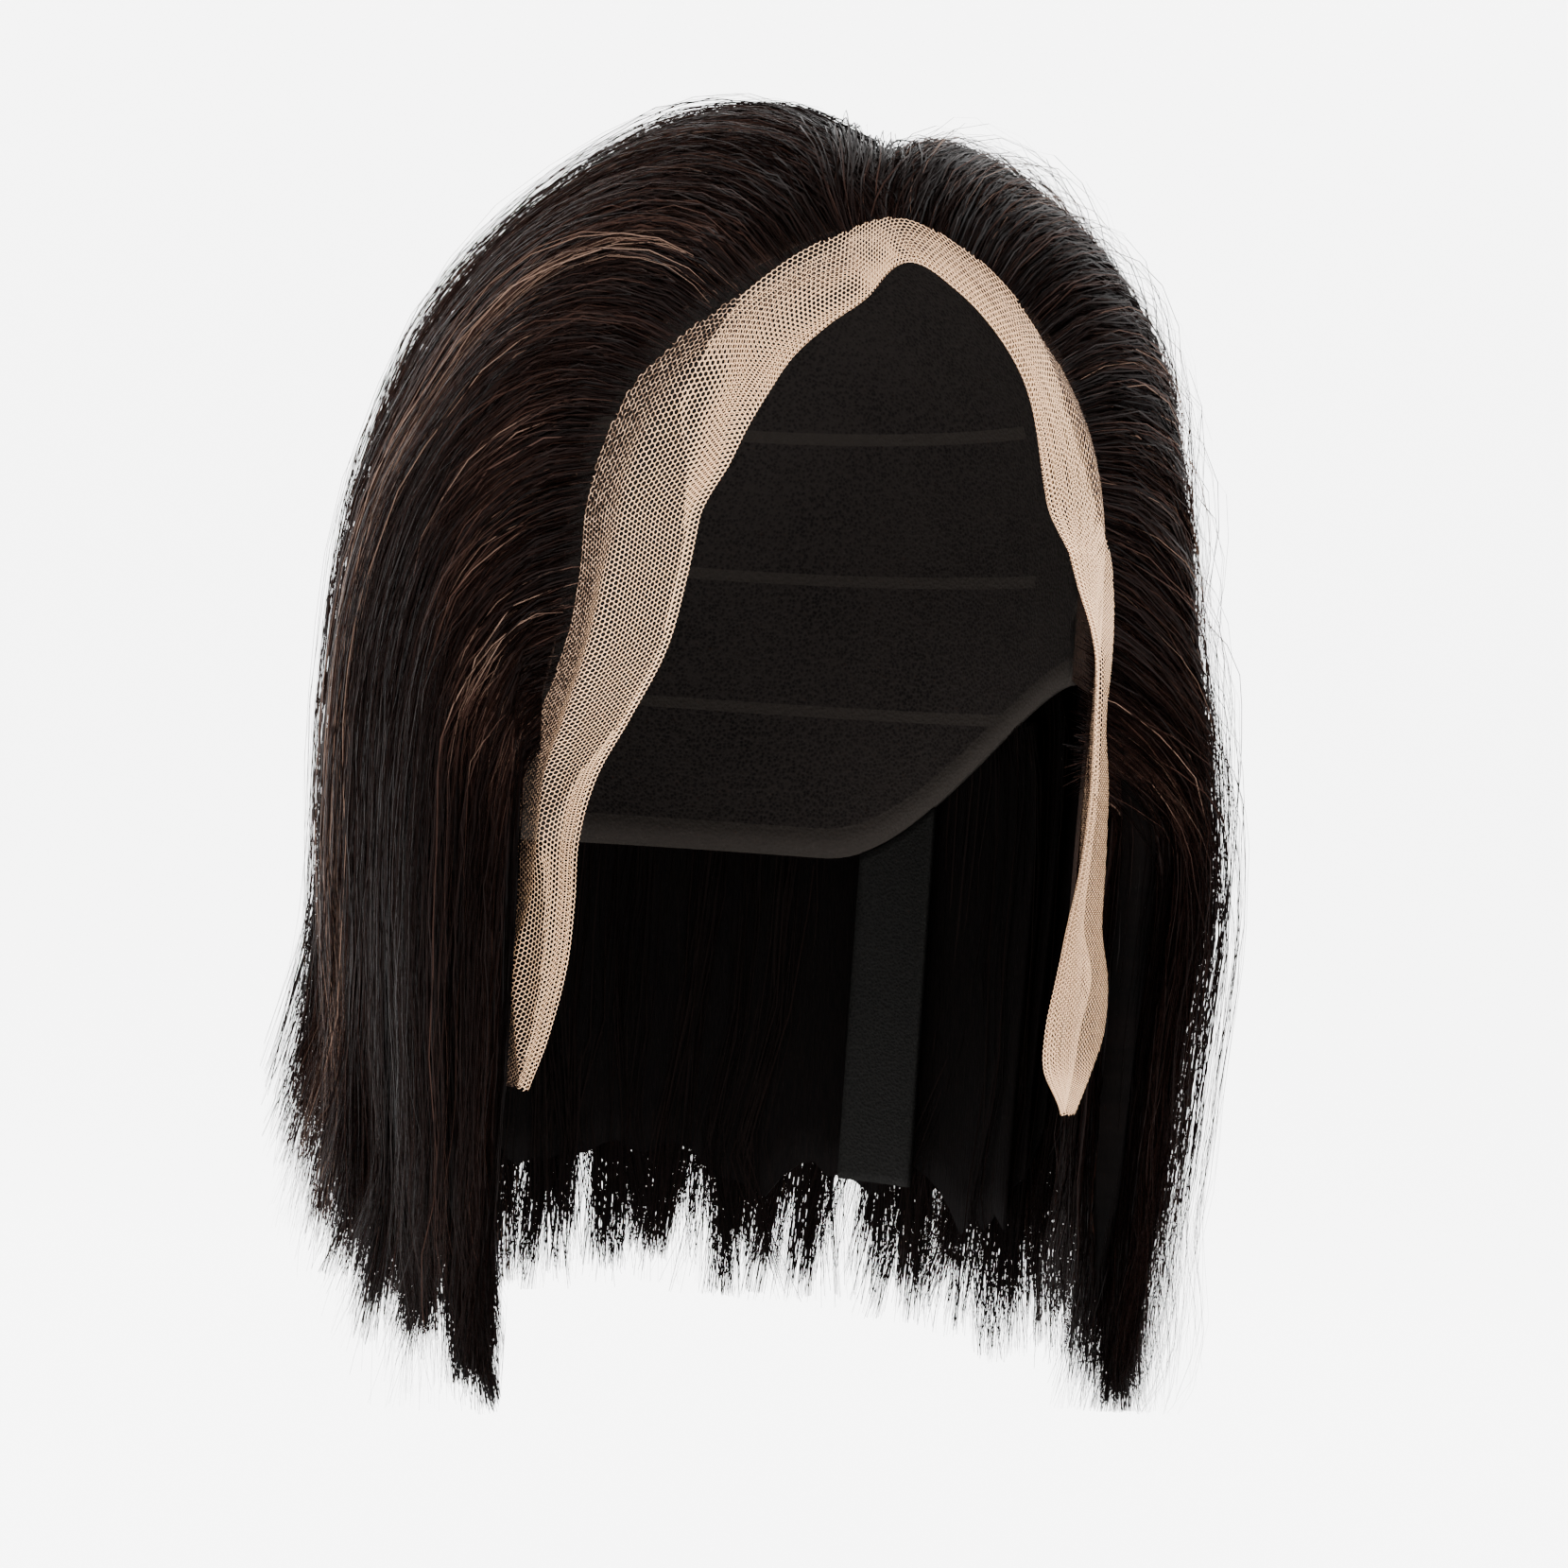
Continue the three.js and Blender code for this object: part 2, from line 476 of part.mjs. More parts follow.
// A geometry whose faces point out, whichever side of the wig it was made for
function facingOut(positions, faces) {
  const corner = (i) => new THREE.Vector3(...positions.slice(3 * faces[i], 3 * faces[i] + 3));
  let volume = 0;
  for (let i = 0; i < faces.length; i += 3) volume += corner(i).dot(corner(i + 1).cross(corner(i + 2)));
  if (volume < 0) faces.reverse();
  const geometry = new THREE.BufferGeometry();
  geometry.setAttribute("position", new THREE.Float32BufferAttribute(positions, 3));
  geometry.setIndex(faces);
  geometry.computeVertexNormals();
  return geometry;
}

// The hair of one side, tied into the lace from the sideburn to the crown
function sideHair(side, locks, edge) {
  const faces = (direction, share, strand, at) => {
    const filledOut = mix(edge.volume, 1, smooth(at / edge.width));
    const outer = volumeAt(direction) * filledOut * risen(strand, share);
    const inner = innerLift(direction, volumeAt(direction) * filledOut);
    const shifted = at > 0.7 ? side * (PART_GAP / 2) : 0;
    return {
      outer: Math.max(outer, inner + TIP_THICKNESS),
      inner,
      point: (d, lift) => offHead(d, lift).add(new THREE.Vector3(shifted, 0, 0)),
    };
  };
  return lockSheet(locks, SIDE_ROWS, (at) => sideStrand(side, at), faces);
}

// The hair that falls from the crown down the back
function backHair() {
  const faces = (direction, share, strand) => {
    const outer = volumeAt(direction) * risen(strand, share);
    const inner = innerLift(direction, volumeAt(direction));
    return {
      outer: Math.max(outer, inner + TIP_THICKNESS),
      inner,
      point: (d, lift) => offHead(d, lift).add(new THREE.Vector3(0, PART_GAP, 0)),
    };
  };
  return lockSheet(BACK_LOCKS, BACK_ROWS, backStrand, faces);
}

// One sewn row: it starts flat on the cap and hangs between the row below and the row above
function weft(row) {
  const rowDrop = row.row * CAP_NAPE_DROP;
  const strandAt = (at) => {
    const turn = mix(WEFT_TURN, 2 * 180 - WEFT_TURN, at);
    const hemDrop = hemDropAt(Math.min(turn, 360 - turn));
    const directions = [];
    for (let i = 0; i <= PATH_STEPS; i++)
      directions.push(directionAt(turn, mix(rowDrop, hemDrop, i / PATH_STEPS)));
    return { path: evenly(directions) };
  };
  const faces = (direction, share) => {
    const hung = smooth(share / WEFT_RISE);
    const sewn = CAP_WALL + SEAM_GAP;
    const volume = volumeAt(direction);
    const inner = Math.max(sewn, volume * row.inner + LAYER_GAP / 2);
    const outer = Math.max(volume * row.outer - LAYER_GAP / 2, inner + TIP_THICKNESS);
    return {
      outer: mix(sewn + TIP_THICKNESS, outer, hung),
      inner: mix(sewn, inner, hung),
      point: (d, lift) => offHead(d, lift, 1).lerp(offHead(d, lift), hung),
    };
  };
  return lockSheet(WEFT_LOCKS, WEFT_ROWS, strandAt, faces);
}

// The seam between the cap and the lace, forward of the crown, from ear to ear
function seamForward(arc) {
  const towardsEar = smooth(Math.abs(arc) / QUARTER);
  return mix(CAP_SEAM_FORWARD, CAP_SEAM_EAR_FORWARD, towardsEar) / HALF_DEPTH;
}

const earArc = QUARTER + (CAP_EAR_DROP - CROWN_HEIGHT) / CROWN_HEIGHT / DEGREE;

const earPoint = directionOnArc(earArc, seamForward(earArc));
const earTurn = Math.atan2(earPoint.x, -earPoint.y) / DEGREE;

// How far below the crown the back edge of the cap is, at a turn from the front
function capEdgeDrop(turn) {
  const behindEar = (Math.min(turn, 360 - turn) - earTurn) / CAP_EAR_CURVE;
  return mix(CAP_EAR_DROP, CAP_NAPE_DROP, smooth(behindEar));
}

// The edge of the cap all round, starting at the right ear: the lace seam, then the ear and the nape
const CAP_SEAM_STEPS = 16;
const CAP_BACK_STEPS = 20;
function capEdge() {
  const edge = [];
  for (let i = 0; i <= CAP_SEAM_STEPS; i++) {
    const arc = mix(-earArc, earArc, i / CAP_SEAM_STEPS);
    edge.push(directionOnArc(arc, seamForward(arc)));
  }
  for (let i = 1; i < CAP_BACK_STEPS; i++) {
    const turn = mix(earTurn, 360 - earTurn, i / CAP_BACK_STEPS);
    edge.push(directionAt(turn, capEdgeDrop(turn)));
  }
  return edge;
}

// The cap runs from one point at the crown down to its edge
const CAP_ROWS = 9;
function cap() {
  const edge = capEdge();
  const positions = [];
  const crownUp = new THREE.Vector3(0, 0, 1);
  for (const lift of [CAP_WALL, 0]) {
    const top = offHead(crownUp, lift);
    positions.push(top.x, top.y, top.z);
    for (const end of edge) {
      const drop = dropOf(end) * CROWN_HEIGHT;
      const turn = Math.atan2(end.x, -end.y) / DEGREE;
      for (let j = 1; j <= CAP_ROWS; j++) {
        const p = offHead(directionAt(turn, capRowDrop(drop, j / CAP_ROWS)), lift, 1);
        positions.push(p.x, p.y, p.z);
      }
    }
  }
  const half = 1 + edge.length * CAP_ROWS;
  const id = (face, i, j) => face * half + (j === 0 ? 0 : 1 + (i % edge.length) * CAP_ROWS + j - 1);
  const faces = [];
  const quad = (a, b, c, d) => faces.push(a, b, c, a, c, d);
  for (let i = 0; i < edge.length; i++) {
    const next = i + 1;
    faces.push(id(0, i, 0), id(0, i, 1), id(0, next, 1));
    faces.push(id(1, i, 0), id(1, next, 1), id(1, i, 1));
    for (let j = 1; j < CAP_ROWS; j++) {
      quad(id(0, i, j), id(0, i, j + 1), id(0, next, j + 1), id(0, next, j));
      quad(id(1, i, j), id(1, next, j), id(1, next, j + 1), id(1, i, j + 1));
    }
    quad(id(0, i, CAP_ROWS), id(1, i, CAP_ROWS), id(1, next, CAP_ROWS), id(0, next, CAP_ROWS));
  }
  return facingOut(positions, faces);
}

// The drop of a row a share of the way down the cap, so that rows lie evenly over the round of the crown
function capRowDrop(drop, share) {
  const quarter = Math.PI / 2;
  const below = drop / CROWN_HEIGHT - 1;
  const angle = (below < 0 ? Math.acos(-below) : quarter + below) * share;
  return CROWN_HEIGHT * (angle < quarter ? 1 - Math.cos(angle) : 1 + angle - quarter);
}

// The lace across one arc, from the seam to the cut edge: how far forward each point lies, in
// millimetres, and how far it stands off the head. It folds back on itself outwards at the fold.
function laceProfile(arc) {
  const row = (name) => column(LACE_TABLE, "arc", name, arc);
  const hairline = row("hairline") * HALF_DEPTH;
  const fold = row("fold") * HALF_DEPTH;
  const underCap = Math.abs(arc) < earArc;
  const seam = underCap ? seamForward(arc) * HALF_DEPTH + SEAM_GAP : hairline - LACE_HAIRLINE_SPARE;
  const width = fold - hairline;
  const margin = Math.min(Math.max(row("margin"), 0) * LACE_MARGIN, width * 0.85);
  const rest = LACE_WALL / 2;
  const lift = rest + row("lift") * LACE_LIFT;
  const crease = rest + row("crease") * LACE_LIFT * 0.5;
  const turn = LACE_WALL * 0.9;
  return [
    { forward: seam, lift: rest },
    { forward: mix(seam, hairline, 0.5), lift: rest },
    { forward: hairline, lift: rest },
    { forward: hairline + width * 0.3, lift: mix(rest, lift, 0.2) + crease * 0.3 },
    { forward: hairline + width * 0.45, lift: mix(rest, lift, 0.4) + crease - rest },
    { forward: hairline + width * 0.6, lift: mix(rest, lift, 0.6) },
    { forward: fold - turn, lift },
    { forward: fold, lift: lift + turn },
    { forward: fold - turn, lift: lift + 2 * turn },
    { forward: fold - turn - margin * 0.5, lift: lift + 2 * turn + margin * 0.08 },
    { forward: fold - turn - margin, lift: lift + 2 * turn + margin * 0.16 },
  ];
}

function lacePoint(arc, at) {
  return offHead(directionOnArc(arc, at.forward / HALF_DEPTH), at.lift);
}

function lace() {
  const centre = [];
  for (let i = 0; i <= LACE_COLUMNS; i++) {
    const arc = mix(-LACE_TIP_ARC, LACE_TIP_ARC, i / LACE_COLUMNS);
    const reach = Math.sign(arc) * laceArc(Math.abs(arc));
    centre.push(laceProfile(arc).map((at) => lacePoint(reach, at)));
  }
  return thickened(centre, LACE_WALL);
}

// An arc of the lace table at its real place: below the temple it follows LACE_DROP
function laceArc(arc) {
  if (arc <= QUARTER) return arc;
  const tip = QUARTER + (LACE_DROP - CROWN_HEIGHT) / CROWN_HEIGHT / DEGREE;
  return mix(QUARTER, tip, (arc - QUARTER) / (LACE_TIP_ARC - QUARTER));
}

// A sheet of the given wall on both sides of a grid of points
function thickened(grid, wall) {
  const columns = grid.length;
  const rows = grid[0].length;
  const faceOf = (sign) =>
    grid.map((line, i) =>
      line.map((p, j) => {
        const along = grid[Math.min(i + 1, columns - 1)][j].clone().sub(grid[Math.max(i - 1, 0)][j]);
        const across = line[Math.min(j + 1, rows - 1)].clone().sub(line[Math.max(j - 1, 0)]);
        const normal = along.cross(across).normalize();
        return p.clone().addScaledVector(normal, (sign * wall) / 2);
      }),
    );
  return closedSheet(faceOf(1), faceOf(-1));
}

// The strap end is sewn to the cap's edge behind the left ear and hangs straight down
const STRAP_COLUMNS = 4;
const STRAP_ROWS = 4;
function strap() {
  const grid = [];
  for (let i = 0; i <= STRAP_COLUMNS; i++) {
    const across = (i / STRAP_COLUMNS - 0.5) * STRAP_WIDTH;
    const turn = STRAP_TURN + across / HALF_WIDTH / DEGREE;
    const sewn = offHead(directionAt(turn, capEdgeDrop(turn)), CAP_WALL / 2, 1);
    const line = [];
    for (let j = 0; j <= STRAP_ROWS; j++) {
      const z = mix(sewn.z - SEAM_GAP, -STRAP_DROP, j / STRAP_ROWS);
      line.push(new THREE.Vector3(sewn.x, sewn.y, z));
    }
    grid.push(line);
  }
  return thickened(grid, STRAP_THICKNESS);
}

function named(name, geometry, material) {
  const mesh = new THREE.Mesh(geometry, material);
  mesh.name = name;
  return mesh;
}

const wig = new THREE.Group();
wig.add(named("cap", cap(), CAP_MATERIAL));
wig.add(named("lace_front", lace(), LACE_MATERIAL));
wig.add(named("nape_strap", strap(), STRAP_MATERIAL));
for (const row of WEFT_TABLE) wig.add(named(row.name, weft(row), WEFT_MATERIAL));
wig.add(named("back_hair", backHair(), HAIR_MATERIAL));
wig.add(named("front_hair_right", sideHair(-1, RIGHT_LOCKS, RIGHT_EDGE), HAIR_MATERIAL));
wig.add(named("front_hair_left", sideHair(1, LEFT_LOCKS, LEFT_EDGE), HAIR_MATERIAL));

export default wig;
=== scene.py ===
"""The looks of a lace-front bob wig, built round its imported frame.

Lengths in the tables are millimetres or shares of the named sizes, as in the part's own source,
and everything is turned into metres where a mesh is made. +Z is up and the face opening looks
along -Y. Left and right are the wearer's, so +X is the left.
"""

import math

import bpy
import numpy as np
from mathutils import Matrix, Vector


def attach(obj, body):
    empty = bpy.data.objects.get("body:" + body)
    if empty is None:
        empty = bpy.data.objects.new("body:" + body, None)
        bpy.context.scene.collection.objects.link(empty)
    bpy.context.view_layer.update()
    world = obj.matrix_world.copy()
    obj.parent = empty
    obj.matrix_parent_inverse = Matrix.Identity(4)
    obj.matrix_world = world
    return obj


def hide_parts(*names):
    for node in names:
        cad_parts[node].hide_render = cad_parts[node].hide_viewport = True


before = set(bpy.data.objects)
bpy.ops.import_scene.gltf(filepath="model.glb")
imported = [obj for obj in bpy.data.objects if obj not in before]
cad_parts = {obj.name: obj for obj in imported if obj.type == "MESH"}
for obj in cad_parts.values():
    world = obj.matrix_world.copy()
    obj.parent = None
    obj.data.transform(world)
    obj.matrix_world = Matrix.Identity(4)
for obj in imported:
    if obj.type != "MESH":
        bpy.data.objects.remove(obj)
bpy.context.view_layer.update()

MM = 0.001


def table(names, *rows):
    """The rows of a table, each by the names of its columns."""
    return [dict(zip(names.split(), row)) for row in rows]


# The head that the wig is made for
HEAD_WIDTH = 150.0
HEAD_DEPTH = 190.0
CROWN_HEIGHT = 92.0
NAPE_TUCK = 0.2
NAPE_TUCK_DROP = 165.0
HALF_WIDTH = HEAD_WIDTH / 2
HALF_DEPTH = HEAD_DEPTH / 2
QUARTER = 90.0

# The cap and the lace
CAP_WALL = 1.5
CAP_NAPE_DROP = 165.0
CAP_EAR_DROP = 118.0
CAP_EAR_CURVE = 65.0
CAP_SEAM_FORWARD = 12.0
CAP_SEAM_EAR_FORWARD = 20.4
LACE_DROP = 216.0
LACE_MARGIN = 12.0
LACE_LIFT = 6.0
LACE_TIP_ARC = 167.0
STRAP_WIDTH = 22.0
STRAP_THICKNESS = 1.5
STRAP_DROP = 247.0
STRAP_TURN = 126.0

# The hair
HEM_DROP = 286.0
BACK_HEM_DROP = 283.0
HAIR_VOLUME = 36.0
TIP_FLARE = 14.0
WHORL_RADIUS = 1.4
WHORL_BASE = 0.5
PART_SLANT = 28.0
PEAK_FORWARD = 0.67
BACK_TURN = 140.0
FLARE_START = 0.83
WEFT_TURN = 92.0
WEFT_SHARE = 0.62
FRONT_HOLLOW = 0.3
FILLED_DROP = 0.26
HOLLOW_DROP = 0.46
CAP_GAP = 1.0
TAB_GAP = 7.0
SHEET_LEAST = 1.2
BACK_SET = 1.2
WEFT_INSET = 0.45
TAB_TURN = 78.0
TAB_FADE = 12.0
WEFT_FADE = 16.0

# The net of the lace, in millimetres
NET_PITCH = 1.12
NET_BEHIND = 7.0
NET_EDGE = 0.4
KNOT_REACH = 12.0
THREAD_WIDTH = 0.2
TAB_THINNER = 0.06
GROUND_DEPTHS = (0.15, 0.4)

# Single hairs: widths and moves in millimetres, lengths in shares of PATH_LENGTH
PATH_LENGTH = 300.0
HAIR_WIDTH = 0.37
LOOSE_WIDTH = 0.18
UNDER_WIDTH = 0.4
COMBED_WIDTH = 0.3
HAIR_TILT = 0.7
LEAST_LIFT = 0.8
SURFACE_DEPTH = 0.16
OWN_TIP = 0.16
LOCK_TIPS = 46
LOCK_RAGGED = 0.026
WISP_SHARE = 0.12
WISP_LENGTH = 0.035
BIG_CLUMP = 16.0
SMALL_CLUMP = 4.2
BIG_PULL = 0.35
SMALL_PULL = 0.88
BIG_SWING = 2.5
WANDER = 1.6
RELIEF_COUNT = 400
BIG_RELIEF = 1.1
SMALL_RELIEF = 0.7
KINK = 1.8
TIP_SPREAD = 2.0
ROOT_AHEAD = 2.6
ROOT_ACROSS = 3.2
TONE = 0.4
LOOSE_LIGHTER = 0.25
VALLEY_LIFT = 5.0
VALLEY_SIDES = 2.5

# How far the hair stands off the head, in shares of HAIR_VOLUME, down the head in shares of HEM_DROP
VOLUME_TABLE = table(
    "drop right left back front",
    (0.0, 0.38, 0.38, 0.44, 0.42),
    (0.03, 0.29, 0.46, 0.45, 0.46),
    (0.07, 0.25, 0.6, 0.46, 0.5),
    (0.16, 0.3, 0.74, 0.5, 0.55),
    (0.25, 0.34, 0.7, 0.5, 0.6),
    (0.32, 0.46, 0.74, 0.5, 0.65),
    (0.46, 0.55, 0.86, 0.53, 0.72),
    (0.6, 0.53, 0.85, 0.55, 0.76),
    (0.72, 0.44, 0.73, 0.53, 0.74),
    (0.84, 0.34, 0.66, 0.47, 0.68),
    (1.0, 0.34, 0.64, 0.36, 0.58),
)

# Guide strands of one side from the face edge round to the back. They leave the temples lower, and
# over the forehead more straight back, than the coarse guides of the part's own source
GUIDE_TABLE = table(
    "at arc root back up out turn bend base rise",
    (0.0, 122, 0.44, 0.04, 0.0, 0.0, 60, 0.56, 0.25, 0.2),
    (0.1, 108, 0.5, 0.04, -0.04, 0.02, 62, 0.54, 0.14, 0.2),
    (0.22, 92, 0.535, 0.1, -0.06, 0.05, 67, 0.52, 0.12, 0.18),
    (0.35, 74, 0.56, 0.18, 0.0, 0.1, 77, 0.5, 0.12, 0.16),
    (0.48, 56, 0.63, 0.26, 0.12, 0.15, 89, 0.46, 0.12, 0.16),
    (0.6, 34, 0.69, 0.34, 0.22, 0.16, 100, 0.42, 0.14, 0.17),
    (0.7, 13, 0.69, 0.38, 0.26, 0.12, 109, 0.38, 0.15, 0.19),
    (0.77, 0.6, 0.65, 0.38, 0.24, 0.16, 115, 0.36, 0.14, 0.2),
    (0.85, 0.3, 0.42, 0.34, 0.14, 0.24, 122, 0.34, 0.2, 0.18),
    (0.93, 0.3, 0.18, 0.25, 0.05, 0.35, 130, 0.32, 0.3, 0.1),
)
RIGHT_EDGE = {"volume": 0.45, "width": 0.2, "reach": 34.0, "swing": 3.5}
LEFT_EDGE = {"volume": 0.75, "width": 0.16, "reach": 44.0, "swing": 4.5}

# Locks of each sheet of hair, from the face edge to the back
RIGHT_LOCKS = table(
    "cut notch flare",
    (0.95, 0.9, -0.5),
    (0.97, 0.85, -0.7),
    (0.95, 0.87, -0.3),
    (0.95, 0.84, 0.0),
    (0.92, 0.83, 0.3),
    (0.94, 0.82, 0.7),
    (0.9, 0.8, 0.9),
    (0.9, 0.8, 1.0),
    (0.87, 0.78, 0.8),
    (0.9, 0.8, 0.5),
    (0.92, 0.83, 0.2),
    (0.95, 0.87, 0.1),
)
LEFT_LOCKS = table(
    "cut notch flare",
    (0.97, 0.92, -0.2),
    (1.0, 0.88, -0.3),
    (0.99, 0.87, 0.0),
    (0.94, 0.84, 0.1),
    (0.98, 0.82, -0.2),
    (0.95, 0.86, 0.2),
    (0.99, 0.83, 0.3),
    (0.94, 0.85, 0.0),
    (0.97, 0.87, 0.2),
    (0.95, 0.84, -0.1),
    (0.98, 0.88, 0.1),
    (0.96, 0.87, 0.0),
)
BACK_LOCKS = table(
    "cut notch flare",
    (0.97, 0.91, 0.1),
    (0.94, 0.92, 0.0),
    (0.99, 0.9, 0.2),
    (0.95, 0.9, -0.1),
    (0.98, 0.91, 0.1),
    (1.0, 0.91, 0.0),
    (0.94, 0.9, 0.2),
    (0.98, 0.91, -0.1),
)
WEFT_LOCKS = table(
    "cut notch flare",
    (0.98, 0.93, 0.0),
    (0.95, 0.91, -0.1),
    (0.99, 0.92, 0.1),
    (0.94, 0.91, 0.0),
    (0.97, 0.92, -0.1),
    (0.98, 0.9, 0.0),
    (0.91, 0.87, 0.1),
    (0.86, 0.83, 0.0),
)
WEFT_TABLE = table(
    "name row inner outer",
    ("weft_upper", 0.34, 0.45, 0.57),
    ("weft_middle", 0.56, 0.27, 0.39),
    ("weft_lower", 0.77, 0.08, 0.2),
)
WEFT_RISE = 0.2

# The lace from the tip of the right ear tab over the forehead to the tip of the left one
LACE_TABLE = table(
    "arc hairline fold margin crease lift",
    (-167, 0.47, 0.54, 0.1, 0.1, 0.3),
    (-160, 0.42, 0.59, 0.2, 0.6, 0.5),
    (-150, 0.36, 0.628, 0.3, 0.8, 0.6),
    (-141, 0.4, 0.64, 0.4, 0.2, 0.7),
    (-133, 0.43, 0.628, 0.5, 0.6, 0.4),
    (-125, 0.44, 0.66, 0.2, 1.0, 0.5),
    (-117, 0.465, 0.727, 0.0, 0.8, 0.8),
    (-108, 0.505, 0.785, 0.0, 0.9, 1.0),
    (-98, 0.527, 0.81, 0.0, 0.7, 1.0),
    (-89, 0.54, 0.82, 0.1, 0.3, 0.7),
    (-78, 0.553, 0.842, 0.4, 0.5, 0.4),
    (-68, 0.575, 0.85, 0.75, 0.3, 0.3),
    (-57, 0.625, 0.855, 0.8, 0.5, 0.3),
    (-45, 0.68, 0.852, 0.85, 0.2, 0.2),
    (-31, 0.713, 0.85, 0.85, 0.2, 0.2),
    (-16, 0.71, 0.835, 0.8, 0.1, 0.2),
    (0, 0.67, 0.775, 0.62, 0.1, 0.15),
    (13, 0.682, 0.808, 0.65, 0.1, 0.15),
    (26, 0.695, 0.84, 0.65, 0.1, 0.15),
    (40, 0.685, 0.868, 0.55, 0.2, 0.15),
    (54, 0.64, 0.898, 0.5, 0.3, 0.15),
    (68, 0.58, 0.912, 0.55, 0.4, 0.15),
    (82, 0.545, 0.9, 0.75, 0.4, 0.15),
    (94, 0.53, 0.835, 0.9, 0.3, 0.2),
    (104, 0.51, 0.7, 0.5, 0.2, 0.2),
    (112, 0.48, 0.665, 0.3, 0.4, 0.2),
    (121, 0.45, 0.69, 0.7, 0.6, 0.3),
    (131, 0.43, 0.735, 0.9, 0.4, 0.35),
    (141, 0.42, 0.8, 1.1, 0.2, 0.4),
    (148, 0.41, 0.845, 1.5, 0.9, 0.6),
    (155, 0.42, 0.865, 1.6, 0.4, 0.6),
    (161, 0.46, 0.84, 1.2, 0.3, 0.4),
    (167, 0.58, 0.73, 0.3, 0.1, 0.2),
)
LACE_HAIRLINE_SPARE = 6.0
SEAM_GAP = 0.4


# Shapes on the head

def mix(a, b, t):
    return a + (b - a) * t


def smooth(t):
    t = np.clip(t, 0.0, 1.0)
    return t * t * (3 - 2 * t)


def curve(start, end, leave, arrive, t):
    """From a start to an end, with the slopes that it leaves and arrives with."""
    t2, t3 = t * t, t * t * t
    return (
        start * (2 * t3 - 3 * t2 + 1)
        + leave * (t3 - 2 * t2 + t)
        + end * (3 * t2 - 2 * t3)
        + arrive * (t3 - t2)
    )


def of_length_one(v):
    return v / (np.linalg.norm(v, axis=-1, keepdims=True) + 1e-9)


def column(table, key, name, at):
    """A column of a table on a smooth curve through its rows."""
    keys = np.array([row[key] for row in table], float)
    values = np.array([row[name] for row in table], float)
    last = len(keys) - 1
    at = np.clip(np.asarray(at, float), keys[0], keys[last])
    i = np.searchsorted(keys[1:last], at, side="left")
    before, after = np.maximum(i - 1, 0), np.minimum(i + 2, last)
    width = keys[i + 1] - keys[i]
    t = (at - keys[i]) / width
    leave = (values[i + 1] - values[before]) / (keys[i + 1] - keys[before]) * width
    arrive = (values[after] - values[i]) / (keys[after] - keys[i]) * width
    return curve(values[i], values[i + 1], leave, arrive, t)


def unit_of(direction):
    """A direction off the head: on a unit ball above the widest level, on a cylinder below it."""
    x, y, z = direction[..., 0], direction[..., 1], direction[..., 2]
    flat = z < 0
    size = np.where(flat, np.hypot(x, y), np.sqrt(x * x + y * y + z * z))
    return np.stack([x / size, y / size, np.where(flat, z, z / size)], -1)


def normal_of(unit):
    """Which way the head's surface faces at a place of the unit shape."""
    up = np.maximum(unit[..., 2], 0) / CROWN_HEIGHT
    n = np.stack([unit[..., 0] / HALF_WIDTH, unit[..., 1] / HALF_DEPTH, up], -1)
    return n / np.linalg.norm(n, axis=-1, keepdims=True)


def off_head(direction, lift, tuck=0.0):
    """The point a lift off the head in a direction, in millimetres."""
    unit = unit_of(direction)
    below = -unit[..., 2] * CROWN_HEIGHT / (NAPE_TUCK_DROP - CROWN_HEIGHT)
    drawn_in = np.where((unit[..., 2] < 0) & (unit[..., 1] > 0), 1 - tuck * NAPE_TUCK * below**2, 1.0)
    across, back = unit[..., 0] * HALF_WIDTH, unit[..., 1] * HALF_DEPTH * drawn_in
    on_head = np.stack([across, back, (unit[..., 2] - 1) * CROWN_HEIGHT], -1)
    return on_head + normal_of(unit) * np.asarray(lift)[..., None]


def direction_at(turn, drop):
    """The direction at a turn in degrees from the front round to +X, and a drop below the crown."""
    turn, drop = np.broadcast_arrays(np.radians(turn), np.asarray(drop, float))
    z = 1 - drop / CROWN_HEIGHT
    flat = np.sqrt(np.where(z > 0, 1 - np.minimum(z, 1) ** 2, 1.0))
    return np.stack([np.sin(turn) * flat, -np.cos(turn) * flat, z], -1)


def direction_on_arc(arc, forward):
    """The direction on an arc from ear to ear, forward of the crown in shares of half the depth."""
    arc, forward = np.broadcast_arrays(np.asarray(arc, float), np.asarray(forward, float))
    flat = np.sqrt(1 - forward**2)
    over = np.abs(arc) <= QUARTER
    a = np.radians(arc)
    x = np.where(over, np.sin(a) * flat, np.sign(arc) * flat)
    z = np.where(over, np.cos(a) * flat, -np.radians(np.abs(arc) - QUARTER))
    return np.stack([x, -forward, z], -1)


def drop_share(unit):
    """How far down the hair a place is, in shares of HEM_DROP."""
    return (1 - unit[..., 2]) * CROWN_HEIGHT / HEM_DROP


def volume_at(direction):
    """How far the top of the hair stands off the head in a direction."""
    unit = unit_of(direction)
    share = drop_share(unit)
    sideways = unit[..., 0] ** 2 / (unit[..., 0] ** 2 + unit[..., 1] ** 2 + 1e-12)
    right, left, back, front = (
        column(VOLUME_TABLE, "drop", name, share) for name in ("right", "left", "back", "front")
    )
    side = np.where(unit[..., 0] < 0, right, left)
    end = np.where(unit[..., 1] < 0, front, back)
    return HAIR_VOLUME * mix(end, side, sideways)


